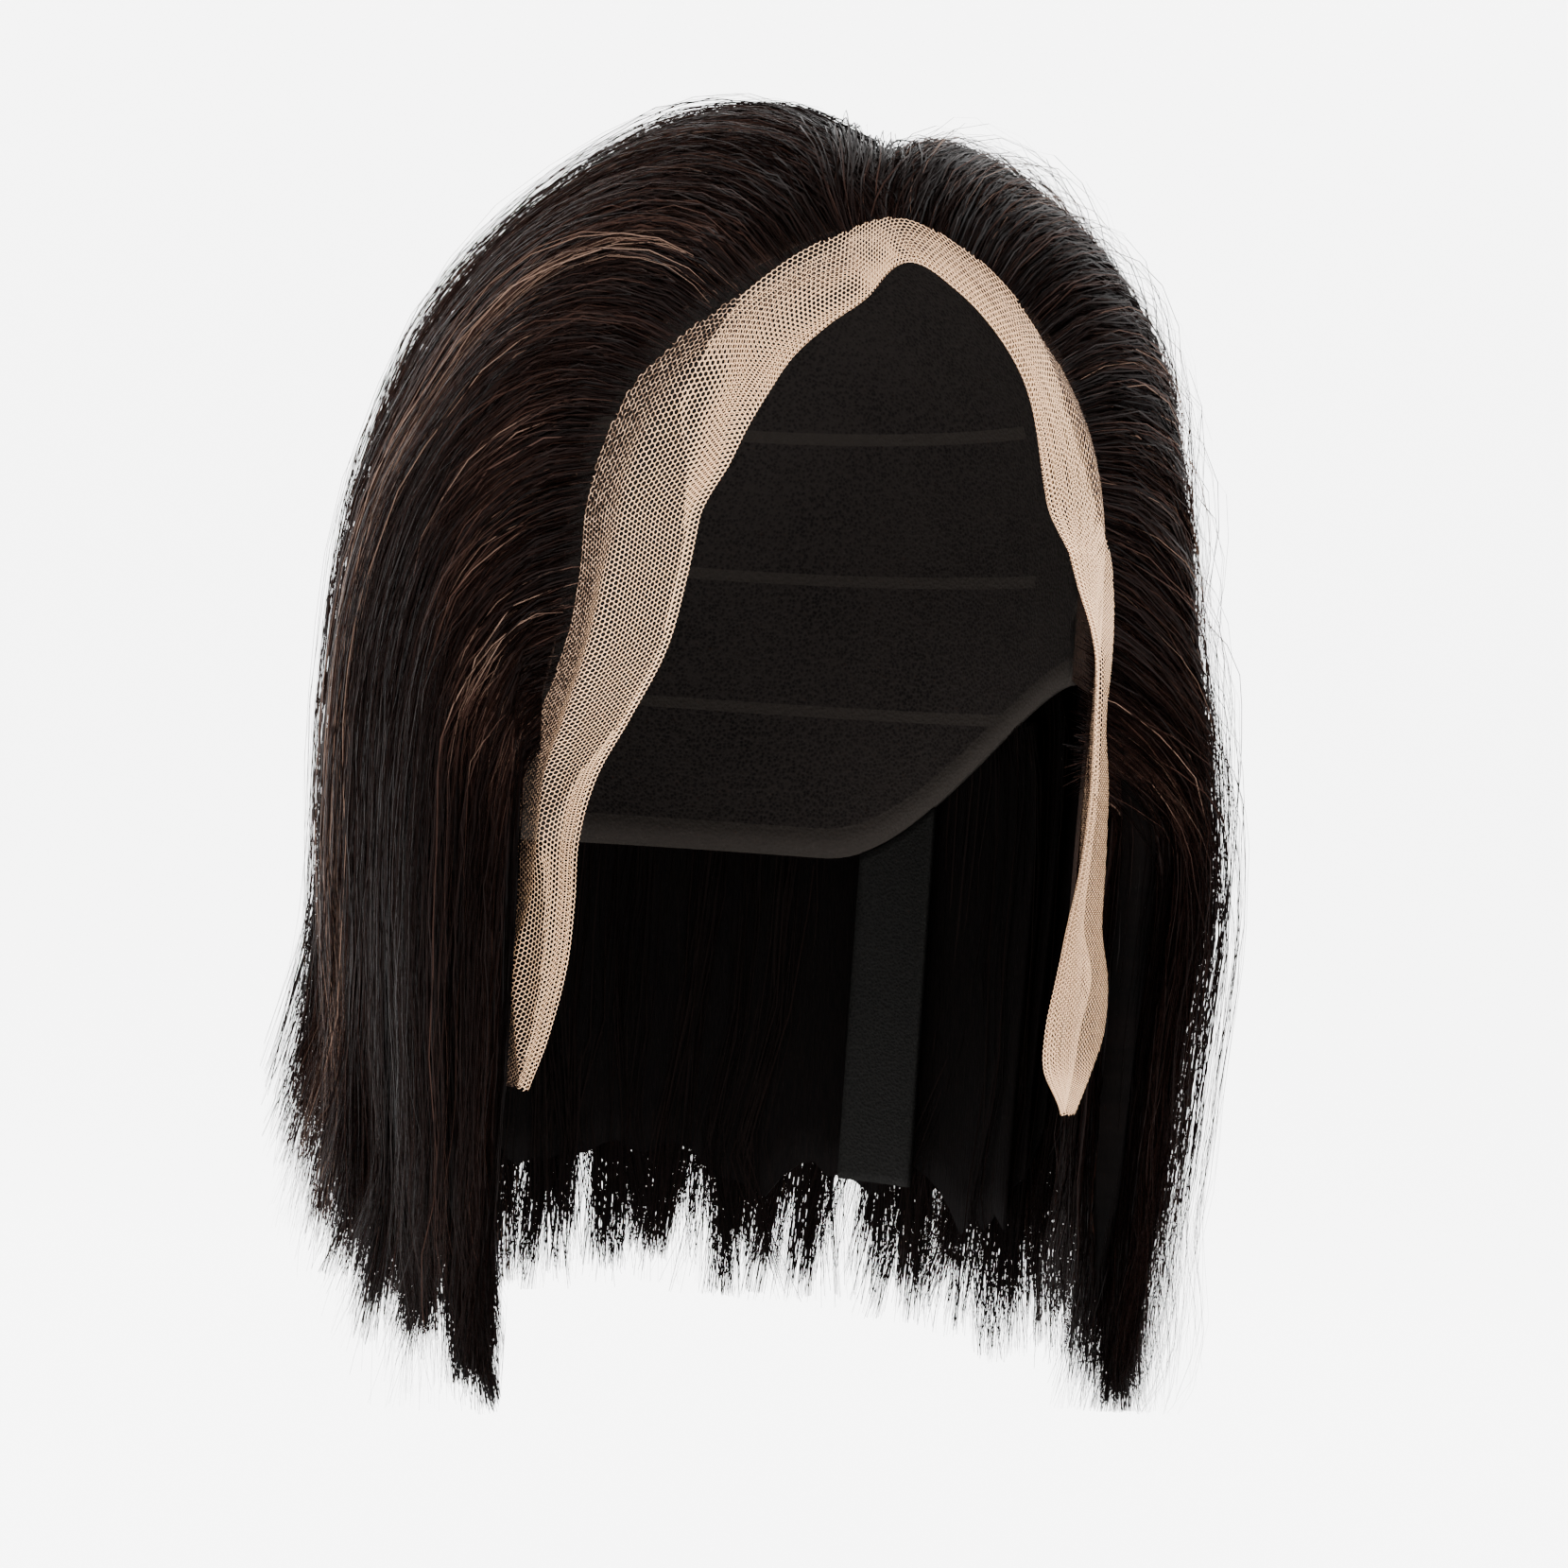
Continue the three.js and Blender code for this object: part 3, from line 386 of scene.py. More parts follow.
def inner_lift(direction, outer):
    """How far the inner face of the outer hair stands off the head."""
    unit = unit_of(direction)
    share = drop_share(unit)
    opened = smooth((share - FILLED_DROP) / (HOLLOW_DROP - FILLED_DROP))
    turn = np.degrees(np.abs(np.arctan2(unit[..., 0], -unit[..., 1])))
    over_tab = opened * (1 - smooth((turn - TAB_TURN) / TAB_FADE))
    floor = mix(CAP_WALL + CAP_GAP, TAB_GAP, over_tab)
    over_wefts = smooth((turn - (WEFT_TURN - WEFT_FADE)) / WEFT_FADE)
    hollow = mix(FRONT_HOLLOW, WEFT_SHARE, over_wefts)
    wefted = over_wefts * smooth((share - 0.12) / 0.08) * WEFT_SHARE
    return np.maximum(floor, outer * np.maximum(opened * hollow, wefted))


def hem_drop_at(turn):
    round_front = (1 - np.cos(np.radians(180 - np.asarray(turn, float)))) / 1.5
    return mix(BACK_HEM_DROP, HEM_DROP, smooth(round_front))


PATH_STEPS = 48
FIELD_SHARES = np.linspace(0, 1, 65)
ABOVE_BEND = 0.45


def hang(root, leave, turn, bend_drop, hem_drop):
    """Evenly spaced directions along strands that leave a root, bend over and hang to the hem."""
    bend = direction_at(turn, bend_drop)
    control = root + leave
    above = bend + np.array([0, 0, ABOVE_BEND])
    t = np.linspace(0, 1, PATH_STEPS + 1)[:, None, None]
    over = (
        root[None] * (1 - t) ** 3
        + control[None] * 3 * t * (1 - t) ** 2
        + above[None] * 3 * t * t * (1 - t)
        + bend[None] * t**3
    )
    down = [
        direction_at(turn, mix(bend_drop, hem_drop, i / PATH_STEPS)) for i in range(1, PATH_STEPS + 1)
    ]
    return evenly(np.concatenate([over, np.stack(down)]))


def evenly(directions):
    """The same paths with their directions evenly spaced along them."""
    points = off_head(directions, np.zeros(directions.shape[:-1]))
    steps = np.linalg.norm(np.diff(points, axis=0), axis=-1)
    along = np.concatenate([np.zeros((1, steps.shape[1])), np.cumsum(steps, 0)])
    even = np.empty((directions.shape[1], len(FIELD_SHARES), 3))
    for c in range(directions.shape[1]):
        for k in range(3):
            even[c, :, k] = np.interp(FIELD_SHARES * along[-1, c], along[:, c], directions[:, c, k])
    return even


def parting_arc(forward):
    return PART_SLANT * (PEAK_FORWARD - forward)


def whorl(side, turn):
    turn = np.radians(np.asarray(turn, float))
    outward = np.stack([np.sin(turn), -np.cos(turn), np.zeros_like(turn)], -1)
    middle = direction_on_arc(side * parting_arc(0.0), 0.0)
    return middle + outward * WHORL_RADIUS / HALF_WIDTH, outward * 0.5


def side_field(side, count=121):
    """The directions of a side's strands: columns from the face edge to the back, rows down them."""
    at = np.linspace(0, 1, count)
    last = GUIDE_TABLE[-1]
    guide = {name: column(GUIDE_TABLE, "at", name, at) for name in last}
    round_crown = np.clip((at - last["at"]) / (1 - last["at"]), 0, 1)
    at_parting = smooth((at - 0.7) / 0.07)
    forward = mix(guide["root"], 0.0, round_crown)
    turn = mix(guide["turn"], BACK_TURN, round_crown)
    end_root, end_leave = whorl(side, BACK_TURN)
    arc = guide["arc"] + at_parting * side * parting_arc(forward)
    root = direction_on_arc(arc, forward)
    root = mix(root, end_root[None], smooth(round_crown)[:, None])
    leave = np.stack([guide["out"], guide["back"], guide["up"]], -1)
    leave = mix(leave, end_leave[None], round_crown[:, None])
    paths = hang(root, leave, turn, guide["bend"] * HEM_DROP, hem_drop_at(turn))
    return paths * np.array([side, 1.0, 1.0])


def back_field(count=81):
    turn = mix(BACK_TURN, 360 - BACK_TURN, np.linspace(0, 1, count))
    root, leave = whorl(1, turn)
    bend = np.full(count, GUIDE_TABLE[-1]["bend"] * HEM_DROP)
    return hang(root, leave, turn, bend, hem_drop_at(np.minimum(turn, 360 - turn)))


def weft_field(row, count=81):
    turn = mix(WEFT_TURN, 360 - WEFT_TURN, np.linspace(0, 1, count))
    hem = hem_drop_at(np.minimum(turn, 360 - turn))
    start = row["row"] * CAP_NAPE_DROP
    rows = [direction_at(turn, mix(start, hem, i / PATH_STEPS)) for i in range(PATH_STEPS + 1)]
    return evenly(np.stack(rows))


def look_up(field, at, share):
    """Directions of a field between its columns and rows."""
    columns, rows = field.shape[0] - 1, field.shape[1] - 1
    a = np.clip(at, 0, 1) * columns
    s = np.clip(share, 0, 1) * rows
    i = np.minimum(a.astype(int), columns - 1)
    j = np.minimum(s.astype(int), rows - 1)
    u, v = (a - i)[..., None], (s - j)[..., None]
    return (
        field[i, j] * (1 - u) * (1 - v)
        + field[i + 1, j] * u * (1 - v)
        + field[i, j + 1] * (1 - u) * v
        + field[i + 1, j + 1] * u * v
    )


def lock_cut(locks, at):
    """Length, length at its middle and flare of the lock that lies at a place of the hem."""
    n = len(locks)
    place = np.clip(np.asarray(at, float), 0, 0.9999) * n
    i = place.astype(int)
    within = place - i
    cut = np.array([lock["cut"] for lock in locks])[i]
    notch = np.array([lock["notch"] for lock in locks])[i]
    after = np.array([lock["notch"] for lock in locks])[np.minimum(i + 1, n - 1)]
    edge = np.where(within < 0.5, notch, after)
    length = mix(cut, edge, np.abs(2 * within - 1) ** 1.5)
    centres = (np.arange(n) + 0.5) / n
    flare = np.interp(at, centres, [lock["flare"] for lock in locks])
    longest = np.interp(at, centres, [lock["cut"] for lock in locks])
    return length, longest, flare


# Meshes

def new_piece(name, points, faces, material, stands_for, attributes=None, shade_smooth=True):
    """A mesh object from points in millimetres, in place of a solid of the frame."""
    mesh = bpy.data.meshes.new(name)
    points = np.asarray(points, np.float32) * MM
    faces = np.asarray(faces, np.int32)
    corners = faces.shape[1]
    mesh.vertices.add(len(points))
    mesh.vertices.foreach_set("co", points.ravel())
    mesh.loops.add(faces.size)
    mesh.loops.foreach_set("vertex_index", faces.ravel())
    mesh.polygons.add(len(faces))
    mesh.polygons.foreach_set("loop_start", np.arange(0, faces.size, corners, dtype=np.int32))
    mesh.polygons.foreach_set("use_smooth", np.full(len(faces), shade_smooth))
    for key, values in (attributes or {}).items():
        layer = mesh.attributes.new(key, "FLOAT", "POINT")
        layer.data.foreach_set("value", np.asarray(values, np.float32))
    mesh.update(calc_edges=True)
    mesh.materials.append(material)
    piece = bpy.data.objects.new(name, mesh)
    bpy.context.scene.collection.objects.link(piece)
    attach(piece, "root")
    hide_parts(stands_for)
    return piece


def hair_mesh(lines, facing, width, own):
    """Fine flat hairs along lines of points, tilted each its own way and thin at both ends."""
    count, steps = lines.shape[:2]
    along = of_length_one(np.gradient(lines, axis=1))
    side = of_length_one(np.cross(along, facing))
    over = np.cross(side, along)
    tilt = own.normal(0, HAIR_TILT, count)[:, None, None]
    side = side * np.cos(tilt) + over * np.sin(tilt)
    t = np.linspace(0, 1, steps)
    at_root = mix(0.4, 1, np.clip(t / 0.1, 0, 1))
    at_tip = 1 - 0.7 * np.clip((t - 0.6) / 0.4, 0, 1) ** 1.5
    taper = np.minimum(at_root, at_tip)
    half = side * (width[:, None] * taper[None] / 2)[..., None]
    points = np.stack([lines - half, lines + half], 2).reshape(-1, 3)
    first = np.arange(count * steps).reshape(count, steps)[:, :-1].reshape(-1, 1) * 2
    return points, first + np.array([[0, 1, 3, 2]])


# Sheets of hair: where their strands run and how far their two faces stand off the head

def outer_lifts(direction, share, full, base, rise):
    """The two faces of outer hair, which rises from a base share of its full lift."""
    risen = mix(base, 1, 1 - (1 - np.clip(share / rise, 0, 1)) ** 2)
    inner = inner_lift(direction, full)
    return np.maximum(full * risen, inner + SHEET_LEAST), inner


def side_sheet(side, locks, edge):
    """The hair of one side, from the face edge over the parting to the back."""
    last = GUIDE_TABLE[-1]

    def lifts(direction, share, at):
        filled = mix(edge["volume"], 1, smooth(at / edge["width"]))
        round_crown = np.clip((at - last["at"]) / (1 - last["at"]), 0, 1)
        base = mix(column(GUIDE_TABLE, "at", "base", at), WHORL_BASE, round_crown)
        rise = column(GUIDE_TABLE, "at", "rise", at)
        return outer_lifts(direction, share, volume_at(direction) * filled, base, rise)

    def point(direction, lift, share):
        return off_head(direction, lift)

    # shade: how much darker the hair is painted towards the face edge, as painted shade
    return {
        "field": side_field(side), "lifts": lifts, "point": point, "locks": locks, "width": 165.0,
        "parted": 1.0, "shade": 0.4, "reach": edge["reach"], "swing": edge["swing"],
    }


def back_sheet():
    rise = column(GUIDE_TABLE, "at", "rise", 1.0)

    def lifts(direction, share, at):
        return outer_lifts(direction, share, volume_at(direction), WHORL_BASE, rise)

    def point(direction, lift, share):
        return off_head(direction, lift) + np.array([0, BACK_SET, 0])

    return {
        "field": back_field(), "lifts": lifts, "point": point, "locks": BACK_LOCKS, "width": 140.0,
        "parted": 0.0, "shade": 0.0, "reach": 40.0, "swing": 3.0,
    }


def weft_sheet(row):
    """The hair that hangs from one sewn row of the cap."""
    def lifts(direction, share, at):
        volume = volume_at(direction)
        hung = smooth(share / WEFT_RISE)
        inner = np.maximum(CAP_WALL + SEAM_GAP, volume * row["inner"] + WEFT_INSET)
        outer = np.maximum(volume * row["outer"] - WEFT_INSET, inner + SHEET_LEAST)
        return mix(CAP_WALL + SEAM_GAP + SHEET_LEAST, outer, hung), mix(CAP_WALL + SEAM_GAP, inner, hung)

    def point(direction, lift, share):
        hung = smooth(share / WEFT_RISE)[..., None]
        return mix(off_head(direction, lift, 1.0), off_head(direction, lift), hung)

    return {
        "field": weft_field(row), "lifts": lifts, "point": point, "locks": WEFT_LOCKS, "width": 230.0,
        "parted": 0.0, "shade": 0.0, "reach": 40.0, "swing": 3.0,
    }


def clump_pull(at, share, size, strength, seed, width, swing):
    """How far strands are drawn into their clump and swung with it, more towards the tips."""
    wobble = np.random.default_rng(seed)
    n = max(2, int(round(width / size)))
    centres = (np.arange(n + 1) + 0.5 + (wobble.random(n + 1) - 0.5) * 0.7) / n
    sway = wobble.normal(0, 0.25 / n, (n + 1, 2))
    i = np.clip((at[:, 0] * n).astype(int), 0, n - 1)
    centre = centres[i][:, None] + sway[i, :1] * np.sin(share * 5 + i[:, None]) + sway[i, 1:] * share
    swung = wobble.normal(0, swing / width, (n + 1, 2))[i]
    aside = swung[:, :1] * np.sin(share * 13 + 2 * i[:, None]) + swung[:, 1:]
    return strength * smooth(share * 1.15) * (centre - at) + aside * smooth((share - 0.4) / 0.5), i


def strand_lines(sheet, count, steps=13, seed=1, surface=0.8, top=0.95, root_spread=0.1, frizz=0.25,
                 ragged=0.016, longer=0.006, clumped=1.0, stray=0.0):
    """Lines of points of single hairs, which way their surface faces, and their tones."""
    own = np.random.default_rng(seed)
    wisps = np.random.default_rng(seed + 400)
    relief = np.random.default_rng(seed + 300).normal(0, 1, RELIEF_COUNT)
    across = sheet["width"]

    # How deep each hair lies in the sheet, where it starts and how long it is
    places = (np.arange(count) + own.random(count)) / count
    at0 = places[:, None]
    under = own.random(count) ** 1.5
    in_surface = own.random(count) < surface
    q = np.where(in_surface, 1 - SURFACE_DEPTH * under, own.random(count) * (1 - SURFACE_DEPTH))
    start = root_spread * np.clip((1 - q) / SURFACE_DEPTH, 0, 1) ** 0.8 * (0.3 + 0.7 * own.random(count))
    profile, longest, flare = lock_cut(sheet["locks"], places)
    lock = (places * LOCK_TIPS).astype(int)
    length = mix(profile, longest, 0.4) + longer - np.abs(own.normal(0, ragged, count))
    length += wisps.normal(0, LOCK_RAGGED, LOCK_TIPS)[lock]
    flip = wisps.random(LOCK_TIPS)[lock][:, None] ** 1.5 * 1.5 * own.uniform(0.6, 1.1, (count, 1))
    wisp = own.random(count) < WISP_SHARE
    length += wisp * own.random(count) * WISP_LENGTH
    t = np.linspace(0, 1, steps)[None] ** own.uniform(1.25, 1.6, (count, 1))
    share = start[:, None] + (length - start)[:, None] * t
    after_start = share - start[:, None]

    # Where it runs in the sheet, drawn into its locks
    pull_big, big = clump_pull(at0, share, BIG_CLUMP, BIG_PULL * clumped, seed + 100, across, BIG_SWING)
    pull_small, small = clump_pull(
        at0, share, SMALL_CLUMP, SMALL_PULL * clumped, seed + 200, across, sheet["swing"]
    )
    wander = own.normal(0, WANDER, (count, 3)) / across
    phase = own.random((count, 3)) * 6.3
    drift = (
        wander[:, :1] * np.sin(share * 3 + phase[:, :1])
        + wander[:, 1:2] * share
        + wander[:, 2:] * 0.4 * np.sin(share * 17 + phase[:, 1:2])
        + own.normal(0, 0.6, (count, steps)) * frizz / across
    )
    at = np.clip(at0 + pull_big + pull_small + drift, 0, 1)
    tip = smooth((share - length[:, None] + OWN_TIP) / OWN_TIP)
    turned = flip * flare[:, None]
    direction = look_up(sheet["field"], at, share - 0.02 * tip * np.maximum(turned, 0))

    # How far it stands off the head
    outer, inner = sheet["lifts"](direction, share, at)
    waves = (
        relief[big % RELIEF_COUNT][:, None] * BIG_RELIEF
        + relief[(small + 90) % RELIEF_COUNT][:, None] * SMALL_RELIEF
    )
    lift = mix(inner, outer, q[:, None] * top) + waves * smooth((share - 0.12) / 0.3)
    lift += own.normal(0, 0.5, (count, 1)) * np.sin(share * 11 + phase[:, 2:])
    lift += own.normal(0, frizz, (count, steps)) * smooth(after_start / 0.05)
    kink = wisps.normal(0, KINK, RELIEF_COUNT)[small % RELIEF_COUNT][:, None]
    kink = kink * np.sin(share * 15 + small[:, None])
    own_kink = own.normal(0, KINK / 2, (count, 1)) * np.sin(share * 21 + phase[:, :1])
    lift += (kink + own_kink) * smooth((share - 0.5) / 0.4)
    far_off = stray * own.random((count, 1)) ** 2
    lift += far_off * smooth((share - 0.02) / own.uniform(0.08, 0.5, (count, 1)))
    lift += TIP_FLARE * tip * turned + own.normal(0, TIP_SPREAD, (count, 1)) * tip
    lift = np.maximum(lift, LEAST_LIFT)
    climb = 0.5 + after_start * PATH_LENGTH * own.uniform(0.45, 1.2, (count, 1))
    lift = climb * lift / (climb**6 + lift**6) ** (1 / 6)
    lift = lift * sheet["reach"] / (lift**8 + sheet["reach"] ** 8) ** (1 / 8)

    # Its tone: darker near the face, which is painted shade on the hair's inner side by the face, darker
    # at the root, lighter towards the tips
    tone = TONE + relief[(small + 7) % RELIEF_COUNT] * 0.1 + relief[(big + 31) % RELIEF_COUNT] * 0.03
    tone = (tone + own.normal(0, 0.15, count))[:, None]
    # Painted shade: darker towards the face edge, from a little below the roots down
    tone = tone - sheet["shade"] * (1 - smooth((at - 0.15) / 0.5)) * smooth((share - 0.08) / 0.2)
    tone = tone - 0.12 * (1 - smooth(share / 0.06)) + 0.1 * smooth((share - 0.3) / 0.6)

    # Roots spread a little ahead of the hairline and either side of the parting
    points = sheet["point"](direction, lift, share)
    ahead_of_root = of_length_one(points[:, :1] - points[:, 1:2])
    spread = np.abs(own.normal(0, ROOT_AHEAD, (count, 1))) * (1 - smooth(share / 0.05))
    spread = (spread * (start[:, None] < 0.03))[..., None]
    in_front = smooth((0.76 - at) / 0.04)[..., None]
    points = points + (ahead_of_root * spread) * sheet["parted"] * in_front
    crossing = own.normal(0, ROOT_ACROSS, (count, 1)) * (1 - smooth(share / 0.15))
    points[..., 0] += crossing * smooth((at - 0.66) / 0.06) * sheet["parted"]
    return points, normal_of(unit_of(direction)), np.clip(tone, 0, 1)


def hairs(name, lines, facing, tone, width, material, stands_for, seed):
    """A piece of single hairs, each a flat ribbon along its line."""
    own = np.random.default_rng(seed)
    widths = np.abs(own.normal(width, width * 0.2, len(lines)))
    points, faces = hair_mesh(lines, facing, widths, own)
    tones = {"strand_tone": np.repeat(tone.ravel(), 2)}
    return new_piece(name, points, faces, material, stands_for, tones)


def core(name, sheet, columns, rows, span, depth, stands_for, seed):
    """The mass of hair under the single strands: a closed sheet with grooves between its locks."""
    own = np.random.default_rng(seed)
    at = np.linspace(0.004, 0.996, columns + 1)[:, None]
    length, _, flare = lock_cut(sheet["locks"], at[:, 0])
    ragged = np.interp(np.linspace(0, 1, columns + 1), np.linspace(0, 1, 60), own.random(60)) * 0.05
    end = (length * span[1] - ragged)[:, None]
    share = mix(span[0], end, np.linspace(0, 1, rows + 1)[None])
    at = np.broadcast_to(at, share.shape)
    direction = look_up(sheet["field"], at, share)
    outer, inner = sheet["lifts"](direction, share, at)
    width = sheet["width"]
    groove = (
        np.abs(np.sin(at * width / 20 * np.pi + 0.8 * np.sin(share * 4)))
        + 0.6 * np.abs(np.sin(at * width / 6.3 * np.pi + 1.5 * np.sin(share * 3 + 1)))
    )
    tip = smooth((share / end - 0.8) / 0.2)
    buried = mix(0.1, depth[1], smooth((share - span[0]) / 0.1))
    high = mix(inner, outer, buried) + (groove - 1.3) * smooth((share - 0.12) / 0.2)
    low = mix(inner, outer, np.minimum(depth[0], buried * 0.5))
    high = np.maximum(high, low + LEAST_LIFT)
    middle = (high + low) / 2
    spread = TIP_FLARE * flare[:, None] * smooth((share - FLARE_START) / (1 - FLARE_START))
    high = np.maximum(mix(high, middle + LEAST_LIFT / 2, tip) + spread, 2 * LEAST_LIFT)
    low = np.maximum(mix(low, middle - LEAST_LIFT / 2, tip) + spread, LEAST_LIFT)
    points = [sheet["point"](direction, lift, share) for lift in (high, low)]
    faces = closed_grid(columns + 1, rows + 1)
    flat = np.concatenate([p.reshape(-1, 3) for p in points])
    across = np.tile((at * width).ravel(), 2)
    along = np.tile((share * PATH_LENGTH).ravel(), 2)
    places = {"across": across, "along": along}
    # The mass is coloured darker than the single hairs, as painted shade of deep hair
    return new_piece(name, flat, outward(flat, faces), shaded_mass_look, stands_for, places)


def closed_grid(columns, rows):
    """Triangles of two grids of points joined by a wall all round."""
    top, under = np.arange(2 * columns * rows).reshape(2, columns, rows)
    corners = [
        (top[:-1, :-1], top[:-1, 1:], top[1:, 1:], top[1:, :-1]),
        (under[:-1, :-1], under[1:, :-1], under[1:, 1:], under[:-1, 1:]),
    ]
    for a, b in (
        (top[:, 0], under[:, 0]),
        (top[-1], under[-1]),
        (under[:, -1], top[:, -1]),
        (under[0], top[0]),
    ):
        corners.append((a[:-1], a[1:], b[1:], b[:-1]))
    quads = np.concatenate([np.stack(four, -1).reshape(-1, 4) for four in corners])
    return np.concatenate([quads[:, [0, 1, 2]], quads[:, [0, 2, 3]]])


def outward(points, faces):
    """The faces of a closed mesh, turned so that they all face out."""
    a, b, c = (points[faces[:, k]] for k in range(3))
    volume = np.einsum("ij,ij->i", a, np.cross(b, c)).sum()
    return faces if volume > 0 else faces[:, ::-1]


# Materials

def feed(tree, made, inputs):
    """Give a node's inputs their values, or link them to the sockets that feed them."""
    for key, value in inputs.items():
        if isinstance(value, bpy.types.NodeSocket):
            tree.links.new(value, made.inputs[key])
        else:
            made.inputs[key].default_value = value


def node(tree, kind, inputs, **values):
    made = tree.nodes.new(kind)
    for key, value in values.items():
        setattr(made, key, value)
    feed(tree, made, inputs)
    return made


def shader(name, roughness, colour, specular=0.5):
    material = bpy.data.materials.new(name)
    material.use_nodes = True
    tree = material.node_tree
    principled = tree.nodes["Principled BSDF"]
    feed(tree, principled, {"Roughness": roughness, "Base Color": (*colour, 1)})
    feed(tree, principled, {"Specular IOR Level": specular})
    return material, tree, principled


def attribute(tree, name):
    return node(tree, "ShaderNodeAttribute", {}, attribute_name=name).outputs["Fac"]


def maths(tree, operation, *values):
    return node(tree, "ShaderNodeMath", dict(enumerate(values)), operation=operation).outputs[0]


def bump(tree, height, strength, distance):
    inputs = {"Height": height, "Strength": strength, "Distance": distance}
    return node(tree, "ShaderNodeBump", inputs).outputs["Normal"]


def ramp(tree, stops, source):
    made = node(tree, "ShaderNodeValToRGB", {"Fac": source})
    elements = made.color_ramp.elements
    for i, (place, colour) in enumerate(stops):
        element = elements[i] if i < 2 else elements.new(place)
        element.position = place
        element.color = (*colour, 1)
    return made.outputs["Color"]


def strand_material(name, stops, roughness, specular=0.03, tone="strand_tone"):
    material, tree, principled = shader(name, roughness, stops[0][1], specular)
    feed(tree, principled, {"Base Color": ramp(tree, stops, attribute(tree, tone))})
    return material


def mass_material(name, stops, roughness):
    """Dark hair with streaks that run down it, drawn out by a slower scale along the strands."""
    material, tree, principled = shader(name, roughness, stops[0][1], 0.02)
    across, along = attribute(tree, "across"), attribute(tree, "along")
    place = node(tree, "ShaderNodeCombineXYZ", {"X": across, "Y": maths(tree, "MULTIPLY", along, 0.03)})
    streaks = node(tree, "ShaderNodeTexNoise", {"Vector": place.outputs[0], "Scale": 2.2, "Detail": 4})
    height = streaks.outputs["Fac"]
    colour, normal = ramp(tree, stops, height), bump(tree, height, 0.8, 0.0006)
    feed(tree, principled, {"Base Color": colour, "Normal": normal})
    return material


# The blackest stop is painted shade, used only for the hair mass and the wefts' hair inside
PAINTED_SHADE_BLACK = (0.0004, 0.0003, 0.0003)
DARK = (0.0013, 0.0008, 0.0007)
BROWN = (0.0058, 0.0027, 0.0021)
WARM = (0.034, 0.017, 0.0125)
PALE = (0.13, 0.08, 0.058)
HAIR_STOPS = [(0.0, DARK), (1.0, PALE), (0.6, BROWN), (0.9, WARM)]
hair_look = strand_material("dark_brown_hair", HAIR_STOPS, 0.42)
# The mass takes the hair's darkest colour and a still darker black: the hair's own dark colour with
# painted shade of the hair lying deep under the strands
shaded_mass_look = mass_material("hair_mass_painted_shade", [(0.3, PAINTED_SHADE_BLACK), (0.75, DARK)], 0.8)
# The wefts' hair inside is coloured darker than the outer hair: painted shade of the hair that hangs in
# shade inside the wig
shaded_under_look = strand_material("under_hair", [(0.0, PAINTED_SHADE_BLACK), (1.0, (0.003, 0.0017, 0.0014))], 0.8, 0.02)

# Hair
right_hair = side_sheet(-1, RIGHT_LOCKS, RIGHT_EDGE)
left_hair = side_sheet(1, LEFT_LOCKS, LEFT_EDGE)
back_hair = back_sheet()

for name, sheet, stands_for, counts, stray, seed in (
    ("right_hair", right_hair, "front_hair_right", (8200, 1800), 7.0, 11),
    ("left_hair", left_hair, "front_hair_left", (8200, 1800), 12.0, 21),
    ("back_hair", back_hair, "back_hair", (4000, 500), 7.0, 31),
):
    lines, facing, tone = strand_lines(sheet, counts[0], seed=seed)
    hairs(name + ".strands", lines, facing, tone, HAIR_WIDTH, hair_look, stands_for, seed)
    lines, facing, tone = strand_lines(
        sheet, counts[1], steps=22, seed=seed + 1, surface=1.0, top=1.0, frizz=0.35,
        clumped=0.4, stray=stray, ragged=0.03, longer=0.02,
    )
    tone = tone + LOOSE_LIGHTER
    hairs(name + ".loose", lines, facing, tone, LOOSE_WIDTH, hair_look, stands_for, seed + 1)
    core(name + ".mass", sheet, 90, 34, (0.05, 0.88), (0.15, 0.66), stands_for, seed + 5)

for k, row in enumerate(WEFT_TABLE):
    name, sheet = row["name"], weft_sheet(row)
    lines, facing, tone = strand_lines(sheet, 1500, steps=7, seed=41 + k, root_spread=0.01, surface=0.4)
    # The wefts' hair takes the darkened under-hair material, which is painted shade
    hairs(name + ".strands", lines, facing, tone, UNDER_WIDTH, shaded_under_look, name, 41 + k)
    core(name + ".mass", sheet, 60, 12, (0.0, 0.85), (0.25, 0.75), name, 51 + k)


def combed_back(count, steps, seed):
    """Hairs from the middle of the hairline, combed back over the parting in a shallow valley."""
    own = np.random.default_rng(seed)
    at0 = own.uniform(-13, 12, (count, 1))
    t = np.linspace(0, 1, steps)[None] ** 1.3
    length = own.uniform(0.42, 0.68, (count, 1))
    root = column(LACE_TABLE, "arc", "hairline", at0) - own.random((count, 1)) ** 2 * 0.06
    forward = root - length * t
    fan = at0 * (1 + own.normal(0.15, 0.35, (count, 1)) * t)
    fan += own.normal(0, 2.5, (count, 1)) * np.sin(t * 3)
    arc = fan + parting_arc(forward) * smooth(t / 0.3)
    valley = VALLEY_LIFT + VALLEY_SIDES * np.minimum((fan / 10) ** 2, 1.3)
    valley += own.normal(0, 0.8, (count, 1))
    valley += own.random((count, 1)) ** 8 * 5
    lift = valley * (1 - (1 - np.clip(t / 0.4, 0, 1)) ** 2) * (1 - 0.95 * smooth((t - 0.45) / 0.55))
    lift = np.maximum(lift + own.normal(0, 0.25, (count, steps)) * smooth(t / 0.2), 0.6)
    direction = direction_on_arc(arc, forward)
    tone = np.clip(0.46 + own.normal(0, 0.16, (count, 1)) + 0 * t, 0, 1)
    return off_head(direction, lift), normal_of(unit_of(direction)), tone


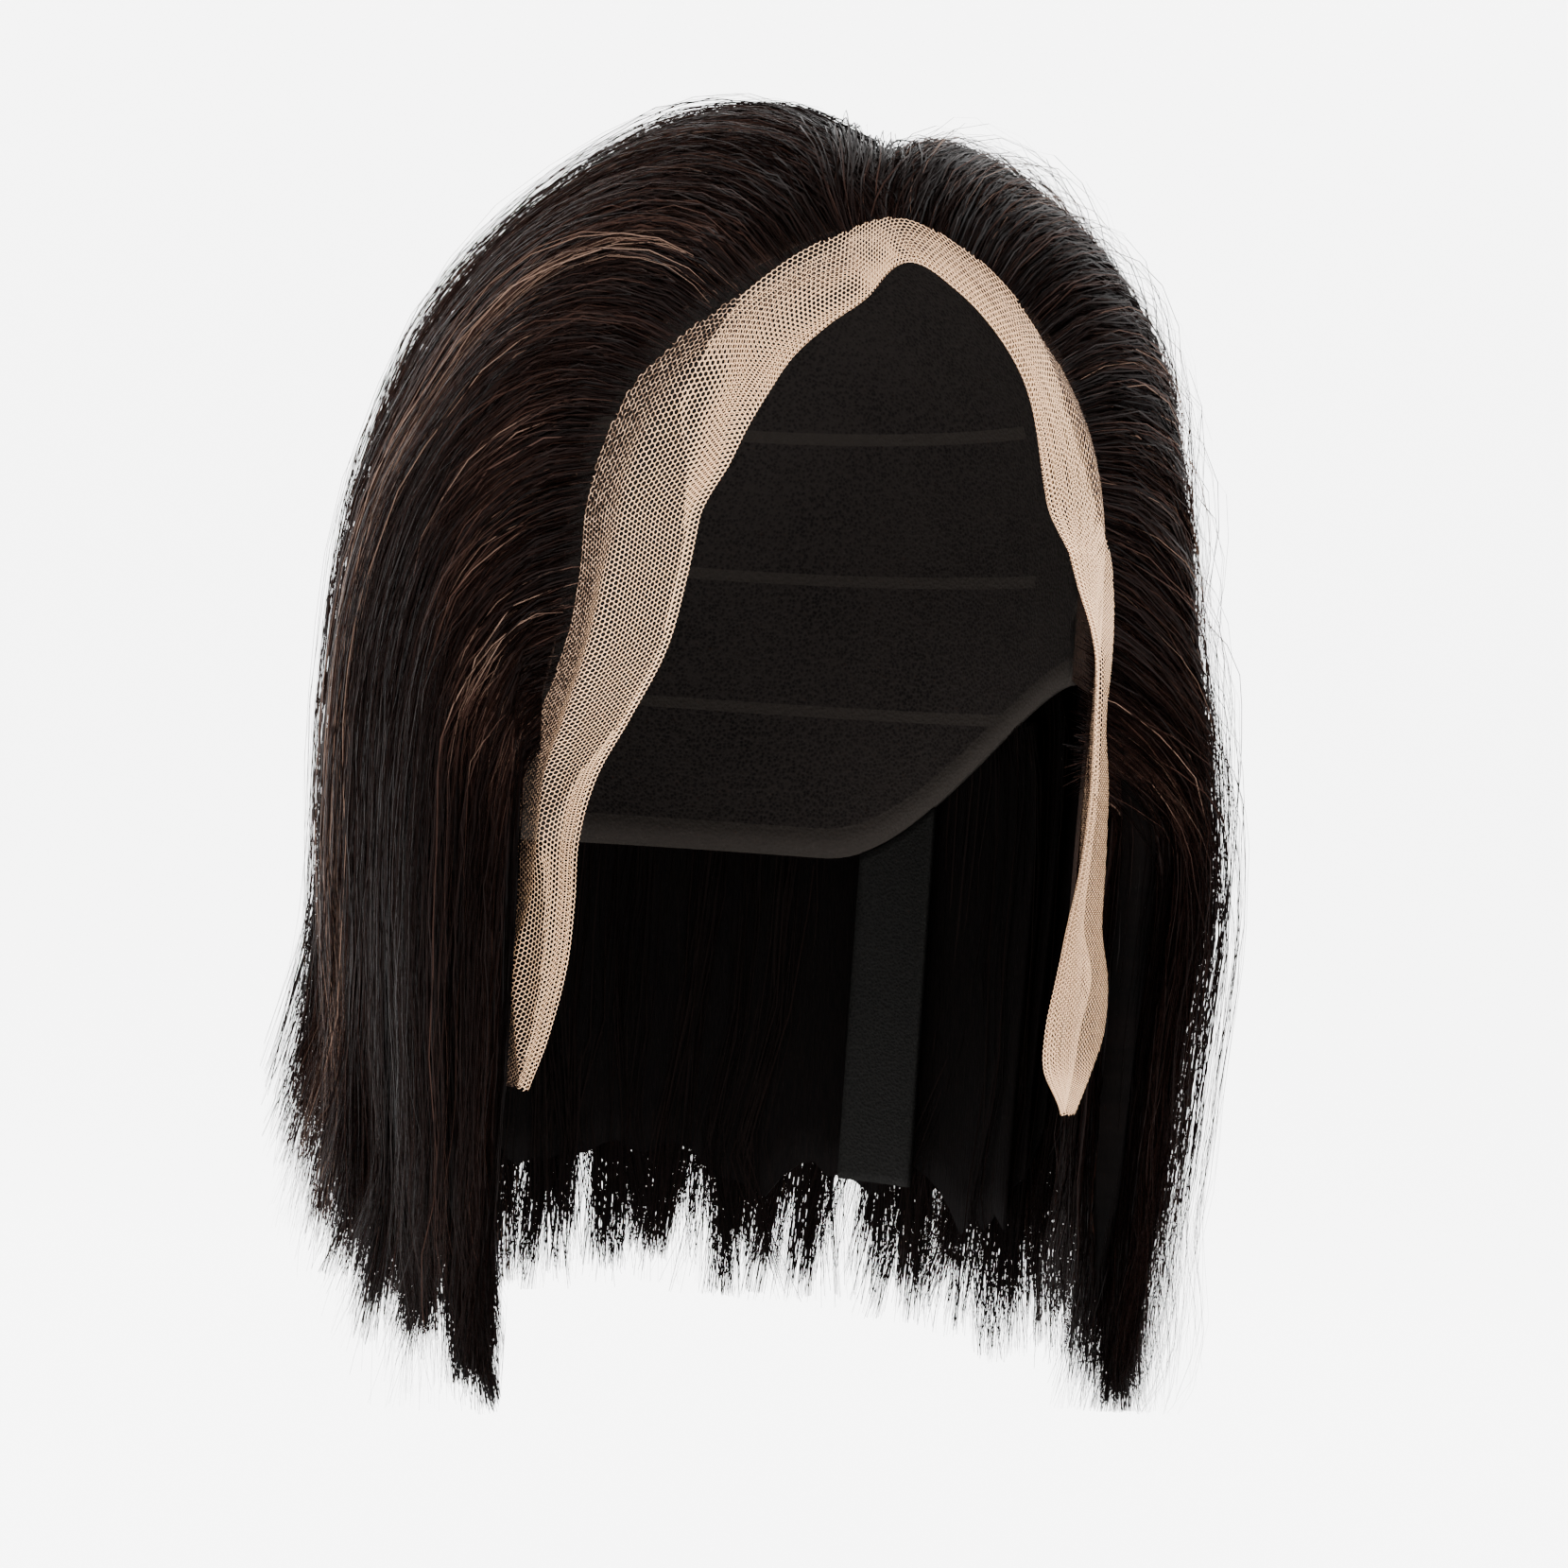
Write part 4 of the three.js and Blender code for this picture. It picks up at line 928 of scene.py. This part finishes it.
lines, facing, tone = combed_back(900, 13, 61)
hairs("parting_hair.strands", lines, facing, tone, COMBED_WIDTH, hair_look, "front_hair_right", 61)


# The lace

def lace_arc(arc):
    """An arc of the lace table at its real place: below the temple it follows LACE_DROP."""
    tip = QUARTER + math.degrees((LACE_DROP - CROWN_HEIGHT) / CROWN_HEIGHT)
    below = mix(QUARTER, tip, (np.abs(arc) - QUARTER) / (LACE_TIP_ARC - QUARTER))
    return np.sign(arc) * np.where(np.abs(arc) <= QUARTER, np.abs(arc), below)


EAR_ARC = QUARTER + math.degrees((CAP_EAR_DROP - CROWN_HEIGHT) / CROWN_HEIGHT)


def seam_forward(arc):
    return mix(CAP_SEAM_FORWARD, CAP_SEAM_EAR_FORWARD, smooth(np.abs(arc) / QUARTER))


def lace_lines(columns=420, fine=12):
    """Lines across the lace, from the seam over the fold to the cut edge, in millimetres."""
    arc = np.linspace(-LACE_TIP_ARC, LACE_TIP_ARC, columns)
    row = {name: column(LACE_TABLE, "arc", name, arc) for name in LACE_TABLE[0]}
    hairline, fold = row["hairline"] * HALF_DEPTH, row["fold"] * HALF_DEPTH
    seam = np.where(np.abs(arc) < EAR_ARC, seam_forward(arc) + SEAM_GAP, hairline - LACE_HAIRLINE_SPARE)
    width = fold - hairline
    margin = np.minimum(np.maximum(row["margin"], 0) * LACE_MARGIN, width * 0.85)
    rest = 0.5
    lift = rest + row["lift"] * LACE_LIFT
    crease = rest + row["crease"] * LACE_LIFT * 0.5
    turn = 0.9
    profile = [
        (seam, rest + 0 * arc),
        (mix(seam, hairline, 0.5), rest + 0 * arc),
        (hairline, rest + 0 * arc),
        (hairline + width * 0.3, mix(rest, lift, 0.2) + crease * 0.3),
        (hairline + width * 0.45, mix(rest, lift, 0.4) + crease - rest),
        (hairline + width * 0.6, mix(rest, lift, 0.6)),
        (fold - turn, lift),
        (fold, lift + turn),
        (fold - turn, lift + 2 * turn),
        (fold - turn - margin * 0.5, lift + 2 * turn + margin * 0.08),
        (fold - turn - margin, lift + 2 * turn + margin * 0.16),
    ]
    last = len(profile) - 1
    at = np.linspace(0, last, last * fine + 1)
    i = np.minimum(at.astype(int), last - 1)
    before, after = np.maximum(i - 1, 0), np.minimum(i + 2, last)
    finer = []
    for k in range(2):
        values = np.stack([np.broadcast_to(place[k], arc.shape) for place in profile], -1)
        leave = (values[:, i + 1] - values[:, before]) / 2
        arrive = (values[:, after] - values[:, i]) / 2
        finer.append(curve(values[:, i], values[:, i + 1], leave, arrive, at - i))
    forward, lifts = finer
    direction = direction_on_arc(lace_arc(arc)[:, None], forward / HALF_DEPTH)
    return off_head(direction, lifts), 7 * fine


class Sheet:
    """A grid of points that can be read in millimetres along its fold and across it."""

    def __init__(self, lines, fold):
        self.lines = lines
        steps = np.linalg.norm(np.diff(lines, axis=1), axis=-1)
        across = np.concatenate([np.zeros((len(lines), 1)), np.cumsum(steps, 1)], 1)
        self.across = across - across[:, fold : fold + 1]
        middle = lines[:, fold]
        self.along = np.concatenate([[0], np.cumsum(np.linalg.norm(np.diff(middle, axis=0), axis=-1))])

    def at(self, u, v):
        c = np.interp(u, self.along, np.arange(len(self.along)))
        i = np.minimum(c.astype(int), len(self.along) - 2)
        t = (c - i)[:, None]
        return self.on_line(i, v) * (1 - t) + self.on_line(i + 1, v) * t

    def on_line(self, i, v):
        out = np.empty((len(i), 3))
        order = np.argsort(i, kind="stable")
        edges = np.flatnonzero(np.diff(i[order])) + 1
        for group in np.split(order, edges):
            if len(group):
                k = i[group[0]]
                for axis in range(3):
                    out[group, axis] = np.interp(v[group], self.across[k], self.lines[k, :, axis])
        return out

    def span(self, u):
        low = np.interp(u, self.along, self.across[:, 0])
        high = np.interp(u, self.along, self.across[:, -1])
        return low, high


def honeycomb(sheet, pitch, behind):
    """Threads of a net of hexagons on a sheet, as pairs of (u, v) places."""
    side = pitch / math.sqrt(3)
    columns = int(sheet.along[-1] / pitch) + 1
    low, high = sheet.across[:, 0].min(), sheet.across[:, -1].max()
    starts, ends = [], []
    row = 0
    v = low
    while v < high + side:
        u = (np.arange(columns) + 0.5 * (row % 2)) * pitch
        top, bottom = v + side / 2, v - side / 2
        starts += [np.stack([u, np.full_like(u, bottom)], 1)]
        ends += [np.stack([u, np.full_like(u, top)], 1)]
        for way in (-0.5, 0.5):
            starts += [np.stack([u, np.full_like(u, top)], 1)]
            ends += [np.stack([u + way * pitch, np.full_like(u, top + side / 2)], 1)]
        v += side * 1.5
        row += 1
    starts, ends = np.concatenate(starts), np.concatenate(ends)
    low, high = sheet.span(starts[:, 0])
    inside = (
        (starts[:, 0] > NET_EDGE) & (ends[:, 0] < sheet.along[-1] - NET_EDGE)
        & (starts[:, 1] > np.maximum(low, behind(starts[:, 0]))) & (ends[:, 1] < high)
    )
    return starts[inside], ends[inside]


def threads(a, b, width, up):
    """Fine flat threads between points, lying in the net."""
    along = b - a
    half = of_length_one(np.cross(along, up)) * (width[:, None] / 2)
    points = np.stack([a - half, a + half, b + half, b - half], 1).reshape(-1, 3)
    return points, np.arange(len(points)).reshape(-1, 4)


lace_sheet = Sheet(*lace_lines())
fold_arcs = np.linspace(-LACE_TIP_ARC, LACE_TIP_ARC, len(lace_sheet.along))
hairline_at = (
    column(LACE_TABLE, "arc", "hairline", fold_arcs) - column(LACE_TABLE, "arc", "fold", fold_arcs)
) * HALF_DEPTH


def behind_hairline(u):
    return np.interp(u, lace_sheet.along, hairline_at) - NET_BEHIND


def lace_net(material):
    """The net's threads, darker near the hairline where hairs are tied into them."""
    starts, ends = honeycomb(lace_sheet, NET_PITCH, behind_hairline)
    a, b = lace_sheet.at(starts[:, 0], starts[:, 1]), lace_sheet.at(ends[:, 0], ends[:, 1])
    middle_u, middle_v = (starts[:, 0] + ends[:, 0]) / 2, (starts[:, 1] + ends[:, 1]) / 2
    du = lace_sheet.at(middle_u + 0.5, middle_v) - lace_sheet.at(middle_u - 0.5, middle_v)
    dv = lace_sheet.at(middle_u, middle_v + 0.4) - lace_sheet.at(middle_u, middle_v - 0.4)
    up = of_length_one(np.cross(du, dv))
    own = np.random.default_rng(77)
    from_hair = middle_v - np.interp(middle_u, lace_sheet.along, hairline_at)
    rooted = 1 - smooth((from_hair + 3) / KNOT_REACH)
    tone = 0.08 + 0.32 * rooted + own.normal(0, 0.07, len(a))
    tone += (own.random(len(a)) < 0.6 * rooted) * 0.45
    arc = np.interp(middle_u, lace_sheet.along, fold_arcs)
    fine = THREAD_WIDTH - TAB_THINNER * smooth((np.abs(arc) - 100) / 30)
    points, faces = threads(a, b, fine + own.normal(0, 0.015, len(a)), up)
    tones = {"thread_tone": np.repeat(np.clip(tone, 0, 1), 4)}
    return new_piece("lace_net", points, faces, material, "lace_front", tones, False)


THREAD_STOPS = [(0.0, (0.75, 0.455, 0.25)), (1.0, (0.02, 0.012, 0.009)), (0.5, (0.4, 0.25, 0.165))]
thread_look = strand_material("lace_thread", THREAD_STOPS, 0.6, 0.07, "thread_tone")
net = lace_net(thread_look)


def lace_ground(material):
    """The part of the lace that the hair is tied into, from the seam to the hairline."""
    part = lace_sheet.lines[::3, :23:2]
    faces = closed_grid(part.shape[0], part.shape[1])
    up = of_length_one(np.cross(np.gradient(part, axis=0), np.gradient(part, axis=1)))
    off = normal_of(part / (HALF_WIDTH, HALF_DEPTH, CROWN_HEIGHT) + (0, 0, 1))
    up *= np.sign((up * off).sum(-1, keepdims=True))
    flat = np.concatenate([(part - up * depth).reshape(-1, 3) for depth in GROUND_DEPTHS])
    return new_piece("lace_ground", flat, outward(flat, faces), material, "lace_front")


def woven_threads():
    """A close weave: how far up a thread stands, and a slow change of shade over the cloth."""
    group = bpy.data.node_groups.new("woven_threads", "ShaderNodeTree")
    for way, names in (("INPUT", ("Threads per metre", "Unevenness")), ("OUTPUT", ("Thread", "Shade"))):
        for name in names:
            group.interface.new_socket(name, in_out=way, socket_type="NodeSocketFloat")
    ins = node(group, "NodeGroupInput", {}).outputs
    place = node(group, "ShaderNodeTexCoord", {}).outputs["Object"]
    holes = node(group, "ShaderNodeTexVoronoi", {"Vector": place, "Scale": ins["Threads per metre"]})
    slow = node(group, "ShaderNodeTexNoise", {"Vector": place, "Scale": 45})
    shade = maths(group, "MULTIPLY", slow.outputs["Fac"], ins["Unevenness"])
    node(group, "NodeGroupOutput", {"Thread": holes.outputs["Distance"], "Shade": shade})
    return group


WEAVE = woven_threads()


def woven_material(name, hole, thread, threads_per_metre, unevenness, roughness):
    """Cloth of fine threads with darker holes between them."""
    material, tree, principled = shader(name, roughness, thread, 0.05)
    inputs = {"Threads per metre": threads_per_metre, "Unevenness": unevenness}
    weave = node(tree, "ShaderNodeGroup", inputs, node_tree=WEAVE).outputs
    shaded = maths(tree, "ADD", weave["Thread"], weave["Shade"])
    colour = ramp(tree, [(0.2, hole), (0.75, thread)], shaded)
    normal = bump(tree, weave["Thread"], 0.5, 0.0004)
    feed(tree, principled, {"Base Color": colour, "Normal": normal})
    return material


# The colour sockets of a mix node, and what the cap's edge and rows take, in shares
MIX_FIRST, MIX_SECOND, MIX_RESULT = 6, 7, 2
EDGE_FROM = 0.965
ROW_HALF_WIDTH = 0.009


def sew_on(material, tape):
    """Sewn rows and a bound edge over the cap's net, where its mesh says that they run."""
    tree = material.node_tree
    principled = tree.nodes["Principled BSDF"]
    cloth = principled.inputs["Base Color"].links[0].from_socket
    down = attribute(tree, "down")
    mask = maths(tree, "GREATER_THAN", attribute(tree, "edge"), EDGE_FROM)
    for row in WEFT_TABLE:
        mask = maths(tree, "MAXIMUM", mask, maths(tree, "COMPARE", down, row["row"], ROW_HALF_WIDTH))
    inputs = {"Factor": mask, MIX_FIRST: cloth, MIX_SECOND: (*tape, 1)}
    mixed = node(tree, "ShaderNodeMix", inputs, data_type="RGBA")
    feed(tree, principled, {"Base Color": mixed.outputs[MIX_RESULT]})


ground_look = woven_material("lace_ground", (0.002, 0.0015, 0.001), (0.02, 0.012, 0.009), 1100, 0.3, 0.8)
ground = lace_ground(ground_look)


# The cap and the strap

def cap_row_drop(drop, share):
    """How far below the crown a row of the cap lies, for a column that ends at a drop."""
    quarter = math.pi / 2
    below = drop / CROWN_HEIGHT - 1
    angle = np.where(below < 0, np.arccos(np.clip(-below, -1, 1)), quarter + below) * share
    return CROWN_HEIGHT * np.where(angle < quarter, 1 - np.cos(angle), 1 + angle - quarter)


def cap_edge_drop(turn, ear_turn):
    behind_ear = (np.minimum(turn, 360 - turn) - ear_turn) / CAP_EAR_CURVE
    return mix(CAP_EAR_DROP, CAP_NAPE_DROP, smooth(behind_ear))


ear = direction_on_arc(EAR_ARC, seam_forward(EAR_ARC) / HALF_DEPTH)
EAR_TURN = math.degrees(math.atan2(ear[0], -ear[1]))


def cap_shell(material, across=64, behind=90, rows=36):
    """The cap as a closed shell: a fan at the crown and columns down to its edge."""
    arc = np.linspace(-EAR_ARC, EAR_ARC, across + 1)
    front = direction_on_arc(arc, seam_forward(arc) / HALF_DEPTH)
    turn = np.linspace(EAR_TURN, 360 - EAR_TURN, behind + 1)[1:-1]
    edge = np.concatenate([front, direction_at(turn, cap_edge_drop(turn, EAR_TURN))])
    drop = (1 - unit_of(edge)[:, 2]) * CROWN_HEIGHT
    turn = np.degrees(np.arctan2(edge[:, 0], -edge[:, 1]))
    rounds = direction_at(turn[:, None], cap_row_drop(drop[:, None], np.arange(1, rows + 1)[None] / rows))
    top = direction_at(0.0, 0.0)
    n = len(edge)
    points = []
    for lift in (CAP_WALL, 0.0):
        points.append(off_head(top[None], np.array([lift])))
        points.append(off_head(rounds, np.full(rounds.shape[:2], lift), 1.0).reshape(-1, 3))
    points = np.concatenate(points)
    half = 1 + n * rows
    i, j = np.meshgrid(np.arange(n), np.arange(rows - 1), indexing="ij")
    a = (1 + i * rows + j).ravel()
    b = (1 + (i + 1) % n * rows + j).ravel()
    outside = np.concatenate([np.stack([a, a + 1, b + 1], -1), np.stack([a, b + 1, b], -1)])
    ring = np.arange(n)
    fan = np.stack([np.zeros(n, int), 1 + ring * rows, 1 + (ring + 1) % n * rows], -1)
    outside = np.concatenate([outside, fan])
    low, next_low = ring * rows + rows, (ring + 1) % n * rows + rows
    rim = np.concatenate([
        np.stack([low, half + low, half + next_low], -1),
        np.stack([low, half + next_low, next_low], -1),
    ])
    faces = np.concatenate([outside, half + outside[:, ::-1], rim])
    below = np.clip((1 - unit_of(rounds)[..., 2]) * CROWN_HEIGHT / CAP_NAPE_DROP, 0, 1)
    behind_ear = np.abs(np.abs(turn) - 180) < 180 - WEFT_TURN
    down = np.concatenate([[0], (below * behind_ear[:, None]).ravel()])
    to_edge = np.concatenate([[0], np.tile(np.arange(1, rows + 1) / rows, n)])
    marks = {"down": np.tile(down, 2), "edge": np.tile(to_edge, 2)}
    return new_piece("cap_shell", points, outward(points, faces), material, "cap", marks)


def strap_band(material, columns=12, rows=40):
    """The flat band that hangs from the cap's edge behind the left ear."""
    across = (np.linspace(0, 1, columns + 1) - 0.5) * STRAP_WIDTH
    turn = STRAP_TURN + np.degrees(across / HALF_WIDTH)
    edge = direction_at(turn, cap_edge_drop(turn, EAR_TURN))
    sewn = off_head(edge, np.full(columns + 1, CAP_WALL / 2), 1.0)
    grid = np.repeat(sewn[:, None], rows + 1, 1)
    grid[..., 2] = mix(sewn[:, None, 2] - SEAM_GAP, -STRAP_DROP, np.linspace(0, 1, rows + 1)[None])
    up = of_length_one(np.cross(np.gradient(grid, axis=0), np.gradient(grid, axis=1)))
    flat = np.concatenate([(grid + up * k * STRAP_THICKNESS / 2).reshape(-1, 3) for k in (1, -1)])
    faces = outward(flat, closed_grid(columns + 1, rows + 1))
    return new_piece("strap_band", flat, faces, material, "nape_strap")


cap_look = woven_material(
    "cap_net", (0.0008, 0.0007, 0.0007), (0.009, 0.0074, 0.0066), 1100, 0.35, 0.85
)
sew_on(cap_look, (0.0125, 0.0105, 0.009))
strap_look = woven_material(
    "strap_band", (0.0006, 0.0006, 0.0005), (0.0024, 0.0023, 0.002), 1400, 0.3, 0.8
)
cap_piece = cap_shell(cap_look)
strap_piece = strap_band(strap_look)


# Stage, in metres
AHEAD = Vector((0.375, 0.927, 0)).normalized()
RIGHT = Vector((AHEAD.y, -AHEAD.x, 0))
AIM = Vector((0, 0, -0.1))
FLOOR_HEIGHT = -0.45
BEND_AT = 1.2
BEND_RADIUS = 1.5
FLOOR_GLOW = 4.6
CAMERA_AWAY = 0.775
CAMERA_HEIGHT = -0.1465
CAMERA_ASIDE = 0.0088
CAMERA_ROLL = 4


def sweep_floor():
    """A pale floor that curves up behind, with no edge in view."""
    profile = [(-4.0, 0.0), (BEND_AT, 0.0)]
    for a in np.linspace(0.1, math.pi / 2, 12):
        profile.append((BEND_AT + BEND_RADIUS * math.sin(a), BEND_RADIUS * (1 - math.cos(a))))
    profile.append((BEND_AT + BEND_RADIUS, 5.0))
    points, faces = [], []
    for y, z in profile:
        for x in (-6, 6):
            points.append(AHEAD * y + RIGHT * x + Vector((0, 0, z + FLOOR_HEIGHT)))
    for i in range(len(profile) - 1):
        faces.append((2 * i, 2 * i + 1, 2 * i + 3, 2 * i + 2))
    mesh = bpy.data.meshes.new("floor")
    mesh.from_pydata([tuple(p) for p in points], [], faces)
    mesh.shade_smooth()
    floor = bpy.data.objects.new("floor", mesh)
    bpy.context.scene.collection.objects.link(floor)
    pale, tree, principled = shader("pale_floor", 0.8, (0.9, 0.9, 0.9))
    feed(tree, principled, {"Emission Color": (1, 1, 1, 1), "Emission Strength": FLOOR_GLOW})
    mesh.materials.append(pale)


sweep_floor()
for name, place, size, power in (
    ("key", (-0.7, -1.5, 1.0), 1.2, 27),
    ("fill", (1.4, -1.1, 0.3), 1.2, 9),
    ("top", (-0.1, -0.1, 1.5), 0.9, 42),
):
    light = bpy.data.lights.new(name, "AREA")
    light.shape = "DISK"
    light.size = size
    light.energy = power
    softbox = bpy.data.objects.new(name, light)
    softbox.location = place
    softbox.rotation_euler = (AIM - softbox.location).to_track_quat("-Z", "Y").to_euler()
    bpy.context.scene.collection.objects.link(softbox)

world = bpy.data.worlds.new("studio")
world.use_nodes = True
sky = world.node_tree.nodes["Background"]
feed(world.node_tree, sky, {"Color": (1, 1, 1, 1), "Strength": 0.45})
bpy.context.scene.world = world

camera_data = bpy.data.cameras.new("camera")
camera_data.lens = 75.2
camera_data.sensor_width = 36
camera = bpy.data.objects.new("camera", camera_data)
camera.location = RIGHT * CAMERA_ASIDE + Vector((0, 0, CAMERA_HEIGHT)) - AHEAD * CAMERA_AWAY
level = AHEAD.to_track_quat("-Z", "Y").to_matrix().to_4x4()
camera.rotation_euler = (level @ Matrix.Rotation(math.radians(CAMERA_ROLL), 4, "Z")).to_euler()
bpy.context.scene.collection.objects.link(camera)
bpy.context.scene.camera = camera
